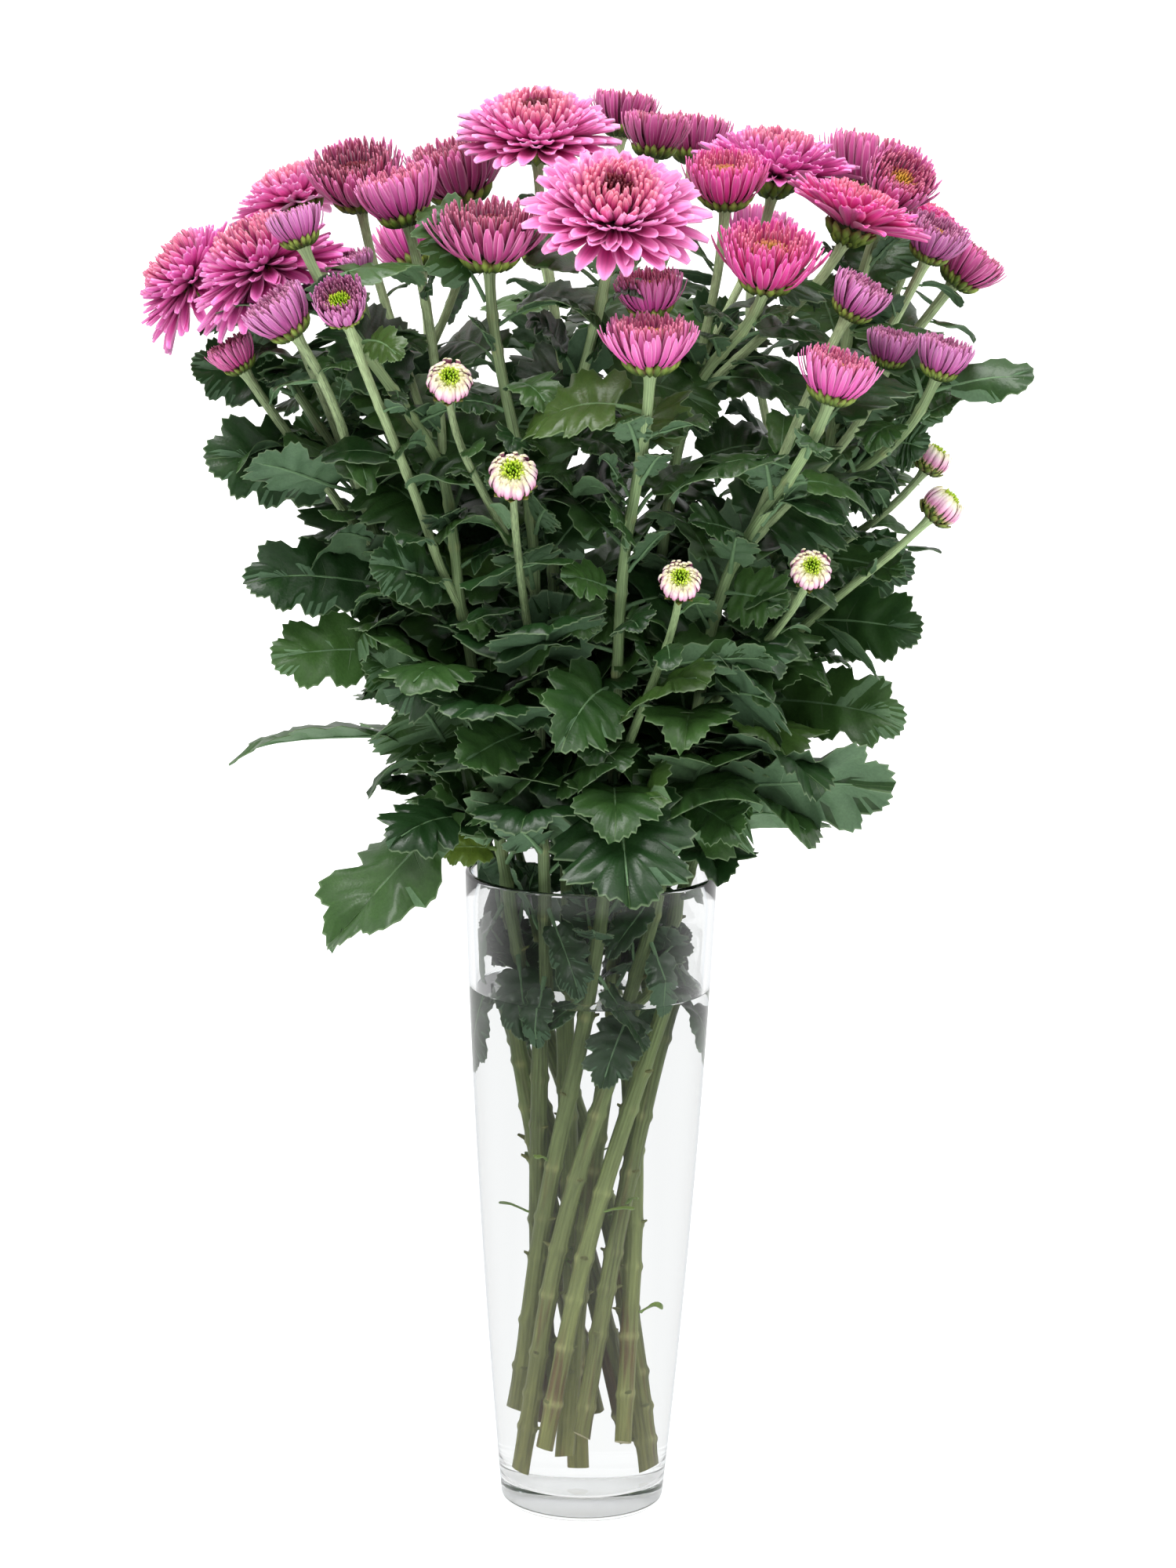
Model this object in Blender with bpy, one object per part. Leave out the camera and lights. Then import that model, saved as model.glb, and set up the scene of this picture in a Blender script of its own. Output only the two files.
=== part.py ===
"""Cut spray chrysanthemums standing in a tall, tapered glass vase, at real size.

Eleven stems twist past each other in the water, lean on the rim and fan out above it. Each one forks
into slender shoots, and every shoot ends in a flower head: open, half open or still in bud.
Metres, +Z up, +X to the right of the front view, which looks along +Y. The origin is the middle of
the vase's foot, on the surface that it stands on.
"""

import math

import bmesh
import bpy
import numpy as np
from mathutils import Matrix, Vector

MM = 0.001
GAP = 0.3 * MM  # left between pieces that touch

# Vase: the outer radius at a height z is FOOT + TAPER z - BELLY z^2, in mm
VASE_HEIGHT = 250.0
FOOT_RADIUS = 31.0
TAPER = 0.098
BELLY = 0.00012
HEEL_RADIUS = 5.0
WALL = 2.6
BASE_THICKNESS = 9.0
VASE_SIDES = 36
WATER_LEVEL = 205.0
CUTTER_RISE = 5.0  # how far the holes for the stems run past the water

# Stems: the bundle is narrow at its waist and wide at the rim
FOOT_RING = 19.0
WAIST_RING = 13.5
WAIST_HEIGHT = 125.0
RIM_RING = 37.0
INNER_SHARE = 0.36  # the two middle stems keep this share of each ring's radius
TWIST_BELOW = math.radians(58)
TWIST_ABOVE = math.radians(68)
STEM_RADIUS = 3.0
CROWN_RADIUS = 2.0
SHOOT_RADIUS = 1.9
BUD_SHOOT_RADIUS = 1.4
FORK_SWELL = 1.15  # a shoot is this much thicker where it leaves its stem
STEM_SIDES = 8
SHOOT_SIDES = 6
SAMPLE_STEP = 4.0
TUBE_STEP = 20.0
CLEARANCE = 1.3  # kept free between one stem and the next

# Flower heads as turned solids: (share of the radius, share of the height), from the stalk upwards
OPEN, HALF, BUD = "open_flower", "half_open_flower", "bud"
PROFILES = {
    OPEN: ((0, 0), (0.1, 0), (0.28, 0.13), (0.92, 0.34), (1, 0.46), (0.8, 0.74), (0.42, 1), (0, 0.94)),
    HALF: ((0, 0), (0.17, 0), (0.52, 0.15), (0.8, 0.45), (1, 0.86), (0.9, 1), (0, 0.86)),
    BUD: ((0, 0), (0.28, 0), (0.82, 0.24), (1, 0.55), (0.84, 0.86), (0, 0.98)),
}
HEIGHT_SHARE = {OPEN: 0.40, HALF: 0.62, BUD: 0.72}  # height over diameter
HEAD_SIDES = {OPEN: 18, HALF: 12, BUD: 10}
HEAD_COLOURS = {OPEN: (0.78, 0.13, 0.42), HALF: (0.55, 0.04, 0.22), BUD: (0.55, 0.62, 0.12)}

# One entry a stem, in mm: its bearing at the rim in degrees, the height of its cut end, whether it
# stands in the middle, where it passes its lowest fork, and its heads. The first head is the crown
# of the main stem. A head is (kind, diameter, centre, lean of its axis in x and y for one of height,
# height at which its shoot leaves the stem).
STEMS = (
    (210, 36, False, (-50, -45, 365), (
        (HALF, 33, (-73, -42, 506), (-0.3, -0.1), 0),
        (HALF, 35, (-90, -14, 510), (-0.15, -0.2), 398),
        (HALF, 24, (-91, -95, 471), (-0.25, -0.9), 352),
        (HALF, 23, (-108, -78, 497), (-0.35, 0.05), 405))),
    (178, 24, False, (-74, -18, 358), (
        (OPEN, 58, (-124, -44, 484), (-0.45, -0.65), 0),
        (OPEN, 54, (-154, 2, 474), (-1.2, -0.1), 400),
        (HALF, 28, (-113, -82, 466), (-0.7, -0.2), 385),
        (HALF, 21, (-133, -36, 447), (-0.6, -0.1), 368))),
    (140, 14, False, (-60, 22, 358), (
        (OPEN, 52, (-116, 40, 501), (-0.35, 0.1), 0),
        (HALF, 20, (-90, -46, 480), (-0.3, -0.1), 392),
        (HALF, 40, (-54, 16, 512), (-0.25, -0.1), 405),
        (HALF, 34, (-72, 80, 478), (-0.3, 0.6), 375))),
    (242, 32, False, (-22, -52, 372), (
        (HALF, 39, (-40, -62, 494), (0, -0.2), 0),
        (BUD, 19, (-30, -92, 411), (0, -0.8), 318),
        (BUD, 17, (-53, -88, 444), (0.1, -0.9), 362))),
    (225, 15, True, (-16, -28, 368), (
        (OPEN, 66, (5, -80, 506), (0.08, -0.7), 0),
        (OPEN, 62, (-24, -16, 530), (-0.03, -0.15), 420))),
    (278, 37, False, (9, -58, 362), (
        (HALF, 33, (18, -97, 459), (0, -0.15), 0),
        (HALF, 27, (18, -52, 473), (-0.1, -0.15), 388),
        (BUD, 16, (30, -97, 375), (0, -0.9), 292))),
    (345, 22, True, (26, -20, 390), (
        (HALF, 32, (45, -36, 513), (0, -0.3), 0),
        (OPEN, 58, (65, 18, 516), (0.1, -0.1), 440),
        (HALF, 37, (60, -68, 487), (0.1, -0.35), 436),
        (OPEN, 50, (92, -28, 500), (0.35, -0.05), 428))),
    (80, 30, False, (6, 56, 362), (
        (HALF, 28, (8, 62, 532), (0.12, 0.15), 0),
        (HALF, 28, (20, 32, 526), (0.1, 0.05), 430),
        (HALF, 30, (36, 78, 522), (0.1, 0.2), 425),
        (HALF, 30, (-22, 98, 480), (-0.1, 0.6), 380))),
    (315, 14, False, (44, -48, 358), (
        (HALF, 30, (84, -92, 448), (0.25, -0.15), 0),
        (BUD, 16, (77, -84, 378), (0.1, -1.1), 312),
        (HALF, 25, (92, -70, 474), (0.55, -0.15), 388),
        (HALF, 22, (106, -44, 454), (0.2, -0.1), 372))),
    (355, 27, False, (75, -8, 362), (
        (HALF, 30, (110, 2, 510), (0.45, -0.5), 0),
        (HALF, 26, (123, -14, 491), (0.4, -0.25), 415),
        (HALF, 42, (103, 56, 512), (0.25, 0.2), 410),
        (BUD, 16, (126, -42, 396), (0.9, -0.1), 330))),
    (35, 34, False, (64, 30, 358), (
        (HALF, 28, (137, 10, 480), (0.75, 0), 0),
        (OPEN, 36, (123, 41, 494), (0.45, 0.15), 418),
        (HALF, 24, (124, -58, 452), (0.3, -0.1), 378),
        (BUD, 14, (124, -14, 410), (0.6, 0), 345),
        (HALF, 32, (62, 98, 482), (0.25, 0.6), 372))),
)

# The outer leaves, one entry each, in mm: the stem it grows on (from 0) and the height of its joint,
# its bearing in degrees, its climb from the level in degrees, its length and its width, how far it
# droops, and how far it rolls about its midrib in degrees
LEAVES = (
    (5, 300, 276, -26, 60, 54, 10, 0),
    (8, 286, 350, 10, 76, 54, 6, -35),
    (1, 302, 188, 4, 80, 44, 8, 20),
    (0, 290, 200, -24, 62, 46, 32, 0),
    (1, 396, 222, 25, 52, 38, 4, 30),
    (7, 300, 95, -5, 78, 52, 14, 0),
)
LEAF_THICKNESS = 1.0
LEAF_ROWS = 15
LEAF_LOBES = 3
STALK_SHARE = 0.24  # of the leaf's length


def material(name, colour, roughness, alpha=1.0, transmission=0.0):
    """A plain surface for one kind of piece."""
    made = bpy.data.materials.new(name)
    made.use_nodes = True
    shader = made.node_tree.nodes["Principled BSDF"]
    shader.inputs["Base Color"].default_value = (*colour, 1)
    shader.inputs["Roughness"].default_value = roughness
    shader.inputs["Metallic"].default_value = 0
    shader.inputs["Alpha"].default_value = alpha
    shader.inputs["Transmission Weight"].default_value = transmission
    made.diffuse_color = (*colour, alpha)
    return made


def add_object(name, shape, surface):
    """Turns a bmesh into a smooth-shaded object."""
    mesh = bpy.data.meshes.new(name)
    shape.to_mesh(mesh)
    shape.free()
    mesh.shade_smooth()
    mesh.set_sharp_from_angle(angle=math.radians(40))
    mesh.materials.append(surface)
    made = bpy.data.objects.new(name, mesh)
    bpy.context.scene.collection.objects.link(made)
    return made


def hide_guide(guide):
    """Marks a piece that only shapes another one."""
    guide.hide_render = True
    guide.display_type = "WIRE"


def combine(target, guide, operation):
    """Joins a guide to an object, or cuts it out."""
    hide_guide(guide)
    step = target.modifiers.new(guide.name, "BOOLEAN")
    step.object = guide
    step.operation = operation
    step.solver = "EXACT"


def turn(profile, sides):
    """A closed solid of revolution about Z from (radius, height) points that start and end on the axis."""
    shape = bmesh.new()
    points = [shape.verts.new((radius, 0, height)) for radius, height in profile]
    edges = [shape.edges.new(pair) for pair in zip(points, points[1:])]
    bmesh.ops.spin(shape, geom=points + edges, axis=(0, 0, 1), cent=(0, 0, 0), steps=sides,
                   angle=2 * math.pi, use_merge=True)
    bmesh.ops.remove_doubles(shape, verts=shape.verts, dist=0.01 * MM)
    bmesh.ops.recalc_face_normals(shape, faces=shape.faces)
    return shape


def outer_radius(height):
    """The vase's outer radius in mm at a height in mm."""
    return FOOT_RADIUS + TAPER * height - BELLY * height**2


def inner_radius(height):
    """The vase's inner radius in mm, which closes in a round bowl above the thick base."""
    bowl = max(0.0, 1 - (height - BASE_THICKNESS) / 12)
    return outer_radius(height) - WALL - 5 * bowl**2


def make_vase():
    """The glass: a flat foot, a rounded heel, a thin tapered wall and a rounded rim."""
    heel = [(outer_radius(HEEL_RADIUS) - HEEL_RADIUS * (1 - math.cos(a)), HEEL_RADIUS * (1 - math.sin(a)))
            for a in np.linspace(math.pi / 2, 0, 4)]
    outside = [(outer_radius(h), h) for h in np.linspace(HEEL_RADIUS, VASE_HEIGHT - WALL / 2, 7)[1:]]
    middle = outer_radius(VASE_HEIGHT) - WALL / 2
    rim = [(middle + WALL / 2 * math.cos(a), VASE_HEIGHT - WALL / 2 + WALL / 2 * math.sin(a))
           for a in np.linspace(0, math.pi, 5)[1:-1]]
    inside = [(inner_radius(h), h) for h in np.linspace(VASE_HEIGHT - WALL / 2, 22, 6)]
    bowl = [(inner_radius(h), h) for h in (17, 12.5, 10)]
    floor = [(inner_radius(10) - 4, BASE_THICKNESS), (0, BASE_THICKNESS)]
    profile = [(0, 0)] + heel + outside + rim + inside + bowl + floor
    glass = material("clear_glass", (0.93, 0.97, 0.97), 0.03, alpha=0.3, transmission=1.0)
    return add_object("vase", turn([(r * MM, h * MM) for r, h in profile], VASE_SIDES), glass)


def make_water(stems):
    """The water: it fills the vase up to its level, around the stems."""
    slack = GAP / MM
    wall = [(inner_radius(h) - slack, h) for h in (10 + slack, 13, 17, 22, 60, 110, 160, WATER_LEVEL)]
    floor = [(0, BASE_THICKNESS + slack), (inner_radius(10) - 4 - slack, BASE_THICKNESS + slack)]
    profile = floor + wall + [(0, WATER_LEVEL)]
    colour = material("water", (0.9, 0.96, 0.97), 0.02, alpha=0.3, transmission=1.0)
    water = add_object("water", turn([(r * MM, h * MM) for r, h in profile], VASE_SIDES), colour)
    for number, (main, _) in enumerate(stems, 1):
        points, radii = thinned(main)
        count = 1 + int(np.argmax(points[:, 2] > WATER_LEVEL + CUTTER_RISE))
        points, radii = points[:count].copy(), radii[:count] + slack * 1.3
        points[0] -= unit(points[1] - points[0]) * slack
        cutter = add_object(f"stem_hole_{number:02d}", sweep(points, radii, STEM_SIDES), colour)
        combine(water, cutter, "DIFFERENCE")
    return water


def spaced(points, step):
    """The same route with its points a fixed distance apart."""
    lengths = np.concatenate([[0], np.cumsum(np.linalg.norm(np.diff(points, axis=0), axis=1))])
    count = max(3, int(round(lengths[-1] / step)) + 1)
    wanted = np.linspace(0, lengths[-1], count)
    return np.stack([np.interp(wanted, lengths, points[:, k]) for k in range(3)], axis=1)


def smooth_curve(knots, steps=24):
    """A smooth curve through its knots (Catmull-Rom, with the ends doubled)."""
    knots = np.array(knots, dtype=float)
    padded = np.vstack([2 * knots[0] - knots[1], knots, 2 * knots[-1] - knots[-2]])
    route = []
    for a, b, c, d in zip(padded, padded[1:], padded[2:], padded[3:]):
        for t in np.arange(steps) / steps:
            route.append(0.5 * (2 * b + (c - a) * t + (2 * a - 5 * b + 4 * c - d) * t**2
                                + (3 * b - a - 3 * c + d) * t**3))
    return np.vstack([route, knots[-1]])


def bend(start, start_way, end, end_way):
    """A curve from one point to another that leaves and arrives along the given directions."""
    reach = np.linalg.norm(end - start) / 3
    t = np.linspace(0, 1, 40)[:, None]
    near, far = start + start_way * reach, end - end_way * reach
    return (1 - t)**3 * start + 3 * (1 - t)**2 * t * near + 3 * (1 - t) * t**2 * far + t**3 * end


def unit(vector):
    """The vector at length one."""
    return vector / np.linalg.norm(vector)


def polar(radius, bearing, height):
    """A point from its distance to the vase's axis, its bearing and its height."""
    return np.array([radius * math.cos(bearing), radius * math.sin(bearing), height])


def read_head(entry):
    """The head's place: its middle, its axis, and the point under it where the stalk ends."""
    kind, diameter, centre, lean, fork = entry
    axis = unit(np.array([*lean, 1.0]))
    height = HEIGHT_SHARE[kind] * diameter
    centre = np.array(centre, dtype=float)
    return {"kind": kind, "radius": diameter / 2, "height": height, "centre": centre, "axis": axis,
            "base": centre - axis * height / 2, "fork": fork}


def main_route(entry):
    """A main stem from its cut end, past the waist and the rim, to the flower at its crown."""
    degrees, cut_height, inner, fork_point, heads = entry
    crown = read_head(heads[0])
    share = INNER_SHARE if inner else 1.0
    rim = math.radians(degrees)
    waist = rim - TWIST_ABOVE
    knots = [polar(FOOT_RING * share, waist - TWIST_BELOW, cut_height),
             polar(WAIST_RING * share, waist, WAIST_HEIGHT),
             polar(RIM_RING * share, rim, VASE_HEIGHT),
             np.array(fork_point, dtype=float)]
    below = smooth_curve(knots)
    above = bend(below[-1], unit(below[-1] - below[-5]), crown["base"] - crown["axis"] * GAP / MM, crown["axis"])
    return spaced(np.vstack([below, above[1:]]), SAMPLE_STEP)


def point_at(route, height):
    """The index of the route's point nearest to a height."""
    return int(np.argmin(np.abs(route[:, 2] - height)))


def shoot_route(main, head):
    """A side shoot from its fork on the main stem to its own head."""
    start = point_at(main, head["fork"])
    along = unit(main[start + 1] - main[start - 1])
    towards = unit(head["base"] - main[start])
    way = unit(along + 1.6 * towards)
    end = head["base"] - head["axis"] * GAP / MM
    return spaced(bend(main[start], way, end, head["axis"]), SAMPLE_STEP)


def push_from_heads(points, radii, owners, heads):
    """How far points must move to leave the flower heads, each taken as an ellipsoid."""
    moves = np.zeros_like(points)
    for number, head in enumerate(heads):
        offset = points - head["centre"]
        along = offset @ head["axis"]
        across = offset - along[:, None] * head["axis"]
        room = radii + CLEARANCE
        scaled = np.sqrt((along / (head["height"] * 0.62 + room))**2
                         + (np.linalg.norm(across, axis=1) / (head["radius"] * 1.04 + room))**2)
        inside = (scaled < 1) & (owners != number)
        moves[inside] += offset[inside] * (1 / np.maximum(scaled[inside], 0.2) - 1)[:, None]
    return moves


def push_apart(points, radii, groups, others, other_radii, other_groups):
    """How far points must move to clear the points of other groups."""
    moves = np.zeros_like(points)
    offset = points[:, None, :] - others[None, :, :]
    distance = np.linalg.norm(offset, axis=2)
    wanted = radii[:, None] + other_radii[None, :] + CLEARANCE
    close = (distance < wanted) & (groups[:, None] != other_groups[None, :])
    for i, j in zip(*np.nonzero(close)):
        if distance[i, j] > 0:
            moves[i] += offset[i, j] / distance[i, j] * (wanted[i, j] - distance[i, j]) * 0.5
    return moves


def keep_in_vase(points, radii):
    """Moves points that would touch the wall back towards the vase's axis."""
    for point, radius in zip(points, radii):
        if point[2] < VASE_HEIGHT + 4:
            limit = inner_radius(min(point[2], VASE_HEIGHT)) - radius - CLEARANCE
            distance = math.hypot(point[0], point[1])
            if distance > limit:
                point[:2] *= limit / distance


def settle(strands, heads, obstacles, rounds=70):
    """Lets the strands push each other apart, and off the heads, as stems do in a full vase."""
    rest = [strand["points"].copy() for strand in strands]
    shifts = [np.zeros_like(points) for points in rest]
    radii = np.concatenate([strand["radii"] for strand in strands])
    groups = np.concatenate([np.full(len(s["points"]), number) for number, s in enumerate(strands)])
    owners = np.concatenate([np.full(len(s["points"]), s["head"]) for s in strands])
    fixed_points = np.vstack([s["points"] for s in obstacles]) if obstacles else np.zeros((0, 3))
    fixed_radii = np.concatenate([s["radii"] for s in obstacles]) if obstacles else np.zeros(0)
    fixed_groups = np.full(len(fixed_points), -1)
    for _ in range(rounds):
        points = np.vstack([strand["points"] for strand in strands])
        moves = push_apart(points, radii, groups, points, radii, groups)
        if len(fixed_points):
            moves += 2 * push_apart(points, radii, groups, fixed_points, fixed_radii, fixed_groups)
        moves += push_from_heads(points, radii, owners, heads)
        first = 0
        for strand, start, shift in zip(strands, rest, shifts):
            count = len(start)
            free = strand["free"]
            shift[free] += 0.6 * moves[first: first + count][free]
            for _ in range(2):
                middle = 0.5 * shift[1:-1] + 0.25 * (shift[:-2] + shift[2:])
                shift[1:-1][free[1:-1]] = middle[free[1:-1]]
            strand["points"] = start + shift
            keep_in_vase(strand["points"], strand["radii"])
            first += count


def lay_out():
    """Every stem as (main strand, side shoots), and every head, all in mm and clear of each other."""
    heads, mains = [], []
    for entry in STEMS:
        route = main_route(entry)
        free = np.ones(len(route), dtype=bool)
        free[[0, -1, -2, -3]] = False
        mains.append({"points": route, "radii": np.linspace(STEM_RADIUS, CROWN_RADIUS, len(route)),
                      "head": len(heads), "free": free})
        heads += [read_head(head) for head in entry[4]]
    settle(mains, heads, [])
    stems, shoots = [], []
    for main in mains:
        own = []
        for number in range(main["head"] + 1, len(heads)):
            if heads[number]["fork"] == 0:
                break
            route = shoot_route(main["points"], heads[number])
            root = SHOOT_RADIUS if heads[number]["kind"] != BUD else BUD_SHOOT_RADIUS
            free = np.ones(len(route), dtype=bool)
            free[[0, 1, -1, -2, -3]] = False
            own.append({"points": route, "radii": np.linspace(root * FORK_SWELL, root, len(route)),
                        "head": number, "free": free})
        stems.append((main, own))
        shoots += own
    settle(shoots, heads, mains)
    return stems, heads


def sweep(points, radii, sides):
    """A closed tube: a disc extruded from point to point, turned and scaled to fit each one."""
    shape = bmesh.new()
    route = [Vector(point) * MM for point in points]
    ways = [(b - a).normalized() for a, b in zip([route[0]] + route[:-1], route[1:] + [route[-1]])]
    frame = ways[0].to_track_quat("Z", "Y").to_matrix().to_4x4()
    bmesh.ops.create_circle(shape, cap_ends=True, segments=sides, radius=radii[0] * MM,
                            matrix=Matrix.Translation(route[0]) @ frame)
    end = shape.faces[:][0]
    end.normal_flip()
    for i in range(1, len(route)):
        grown = bmesh.ops.extrude_face_region(shape, geom=[end])
        ring = [item for item in grown["geom"] if isinstance(item, bmesh.types.BMVert)]
        faces = [item for item in grown["geom"] if isinstance(item, bmesh.types.BMFace)]
        swing = ways[i - 1].rotation_difference(ways[i]).to_matrix()
        for vertex in ring:
            vertex.co = route[i] + swing @ (vertex.co - route[i - 1]) * (radii[i] / radii[i - 1])
        if end.is_valid and i > 1:
            bmesh.ops.delete(shape, geom=[end], context="FACES_ONLY")
        end = faces[0]
    bmesh.ops.recalc_face_normals(shape, faces=shape.faces)
    return shape


def thinned(strand):
    """The strand's points and radii at the spacing of the tube's rings."""
    count = max(4, int(round(len(strand["points"]) * SAMPLE_STEP / TUBE_STEP)) + 1)
    picks = np.unique(np.linspace(0, len(strand["points"]) - 1, count).round().astype(int))
    picks = np.unique(np.concatenate([picks, [len(strand["points"]) - 2]]))
    return strand["points"][picks], strand["radii"][picks]


def make_stem(number, main, shoots):
    """One stem with its side shoots, grown as one piece."""
    green = material(f"green_stem_{number:02d}", (0.16, 0.24, 0.07), 0.55)
    stem = add_object(f"stem_{number:02d}", sweep(*thinned(main), STEM_SIDES), green)
    for letter, shoot in zip("abcdef", shoots):
        guide = add_object(f"shoot_{number:02d}{letter}", sweep(*thinned(shoot), SHOOT_SIDES), green)
        combine(stem, guide, "UNION")
    return stem


def make_head(name, head):
    """A flower head: a turned solid of the true outer shape, on its own leaning axis."""
    profile = [(r * head["radius"] * MM, h * head["height"] * MM) for r, h in PROFILES[head["kind"]]]
    petals = material(name, HEAD_COLOURS[head["kind"]], 0.7)
    made = add_object(name, turn(profile, HEAD_SIDES[head["kind"]]), petals)
    made.location = Vector(head["base"]) * MM
    made.rotation_mode = "QUATERNION"
    made.rotation_quaternion = Vector(head["axis"]).to_track_quat("Z", "Y")
    return made


def leaf_half_width(share):
    """Half the leaf's width, as a share of its widest, along its length: a stalk, then round lobes."""
    if share < STALK_SHARE:
        return 0.07
    blade = (share - STALK_SHARE) / (1 - STALK_SHARE)
    outline = math.sin(math.pi * blade**0.8) ** 0.6 if 0 < blade < 1 else 0
    notch = 0.5 + 0.5 * math.cos(2 * math.pi * LEAF_LOBES * blade)
    return max(0.05, outline * (1 - 0.34 * notch))


def make_leaf(number, stems):
    """One leaf: a stalk and a lobed blade folded a little along its midrib, growing out of its stem."""
    stem, height, bearing, climb, length, width, droop, roll = LEAVES[number - 1]
    main = stems[stem][0]
    joint = point_at(main["points"], height)
    bearing, climb = math.radians(bearing), math.radians(climb)
    way = Vector((math.cos(bearing) * math.cos(climb), math.sin(bearing) * math.cos(climb), math.sin(climb)))
    along = Vector(unit(main["points"][joint + 1] - main["points"][joint - 1]))
    outward = (way - along * way.dot(along)).normalized()
    start = Vector(main["points"][joint]) + outward * (main["radii"][joint] + 2)
    side = Matrix.Rotation(math.radians(roll), 3, way) @ way.cross(Vector((0, 0, 1))).normalized()
    up = side.cross(way)
    shape = bmesh.new()
    rows = []
    for i in range(LEAF_ROWS + 1):
        share = i / LEAF_ROWS
        half = width / 2 * leaf_half_width(share)
        rib = start + way * length * share - Vector((0, 0, droop * share**2))
        edge = up * 0.25 * half
        rows.append([shape.verts.new((rib + side * half * k + edge * abs(k)) * MM) for k in (-1, 0, 1)])
    for low, high in zip(rows, rows[1:]):
        for k in (0, 1):
            shape.faces.new((low[k], low[k + 1], high[k + 1], high[k]))
    bmesh.ops.recalc_face_normals(shape, faces=shape.faces)
    leaf = add_object(f"leaf_{number:02d}", shape, material(f"leaf_{number:02d}", (0.03, 0.12, 0.02), 0.4))
    skin = leaf.modifiers.new("thickness", "SOLIDIFY")
    skin.thickness = LEAF_THICKNESS * MM
    skin.offset = 0
    return leaf


def main():
    """Builds the vase, the water, the stems, the flower heads and the outer leaves."""
    for old in list(bpy.data.objects):
        bpy.data.objects.remove(old, do_unlink=True)
    stems, heads = lay_out()
    make_vase()
    make_water(stems)
    for number, (stem, shoots) in enumerate(stems, 1):
        make_stem(number, stem, shoots)
    counts = {OPEN: 0, HALF: 0, BUD: 0}
    for head in heads:
        counts[head["kind"]] += 1
        make_head(f"{head['kind']}_{counts[head['kind']]:02d}", head)
    for number in range(1, len(LEAVES) + 1):
        make_leaf(number, stems)


main()
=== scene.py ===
"""Cut spray chrysanthemums in a tall, clear glass vase, finished like the real ones.

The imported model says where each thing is: the vase, the water, eleven forked stems, the flower heads and
the outer leaves. This script reads those places and grows the detailed piece on each of them: turned
glass, ribbed stems with their leaf scars, heads with every floret and scale, and lobed leaves.
Metres, +Z up. The front looks along +Y.
"""

import math
import random

import bmesh
import bpy
import numpy as np
from mathutils import Matrix, Vector
from mathutils.bvhtree import BVHTree


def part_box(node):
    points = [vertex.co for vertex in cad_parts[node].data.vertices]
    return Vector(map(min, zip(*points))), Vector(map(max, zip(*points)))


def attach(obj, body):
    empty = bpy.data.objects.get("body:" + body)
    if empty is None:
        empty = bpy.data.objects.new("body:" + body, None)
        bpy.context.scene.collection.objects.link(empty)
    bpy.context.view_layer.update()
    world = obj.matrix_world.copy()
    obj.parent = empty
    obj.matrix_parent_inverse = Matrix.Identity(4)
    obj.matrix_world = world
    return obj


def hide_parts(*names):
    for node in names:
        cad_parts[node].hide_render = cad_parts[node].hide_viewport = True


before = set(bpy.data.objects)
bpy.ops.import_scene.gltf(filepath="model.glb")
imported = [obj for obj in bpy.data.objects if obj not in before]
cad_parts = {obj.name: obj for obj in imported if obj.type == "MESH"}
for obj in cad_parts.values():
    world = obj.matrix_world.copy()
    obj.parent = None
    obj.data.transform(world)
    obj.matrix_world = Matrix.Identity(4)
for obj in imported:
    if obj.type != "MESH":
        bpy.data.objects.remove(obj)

bl_info = {
    "name": "Chrysanthemum Bouquet",
    "version": (1, 0, 0),
    "blender": (4, 5, 0),
    "location": "View3D > Sidebar > Bouquet",
    "description": "Grows spray chrysanthemums in a glass vase around a packed model",
    "category": "Add Mesh",
}

MM = 0.001
GOLDEN_ANGLE = math.radians(137.508)  # between one leaf or floret and the next
SEED = 11
FOOT_SHARE = 0.88  # of a stem's thickness inside the vase: the foot girth thickens it there again


def linear(code):
    """An sRGB hex colour as linear red, green, blue and alpha."""
    shares = [int(code[i:i + 2], 16) / 255 for i in (1, 3, 5)]
    return (*[s / 12.92 if s <= 0.04045 else ((s + 0.055) / 1.055) ** 2.4 for s in shares], 1.0)


# ---------------------------------------------------------------- reading the frame


def nodes_named(start):
    """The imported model's nodes whose names start so, in order."""
    return sorted(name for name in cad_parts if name.startswith(start))


def merged(node):
    """A copy of a node's mesh with its loose triangles joined."""
    shape = bmesh.new()
    shape.from_mesh(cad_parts[node].data)
    bmesh.ops.remove_doubles(shape, verts=shape.verts, dist=0.005 * MM)
    return shape


def read_head(node):
    """A flower head's place from its turned solid: where its stalk ends, its axis, its radius and height."""
    shape = merged(node)
    points = np.array([v.co for v in shape.verts])
    shape.free()
    middle = points.mean(axis=0)
    spread, ways = np.linalg.eigh(np.cov((points - middle).T))
    # a turned solid spreads alike in the two directions across its axis
    axis = ways[:, 0] if spread[1] - spread[0] > spread[2] - spread[1] else ways[:, 2]
    along = (points - middle) @ axis
    across = np.linalg.norm(points - middle - along[:, None] * axis, axis=1)
    rings = across > 0.05 * across.max()
    if np.corrcoef(along[rings], across[rings])[0, 1] < 0:  # the narrow end is the stalk's
        axis, along = -axis, -along
    return {"node": node, "base": Vector(middle + axis * along.min()), "axis": Vector(axis),
            "radius": across.max(), "height": along.max() - along.min()}


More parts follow.
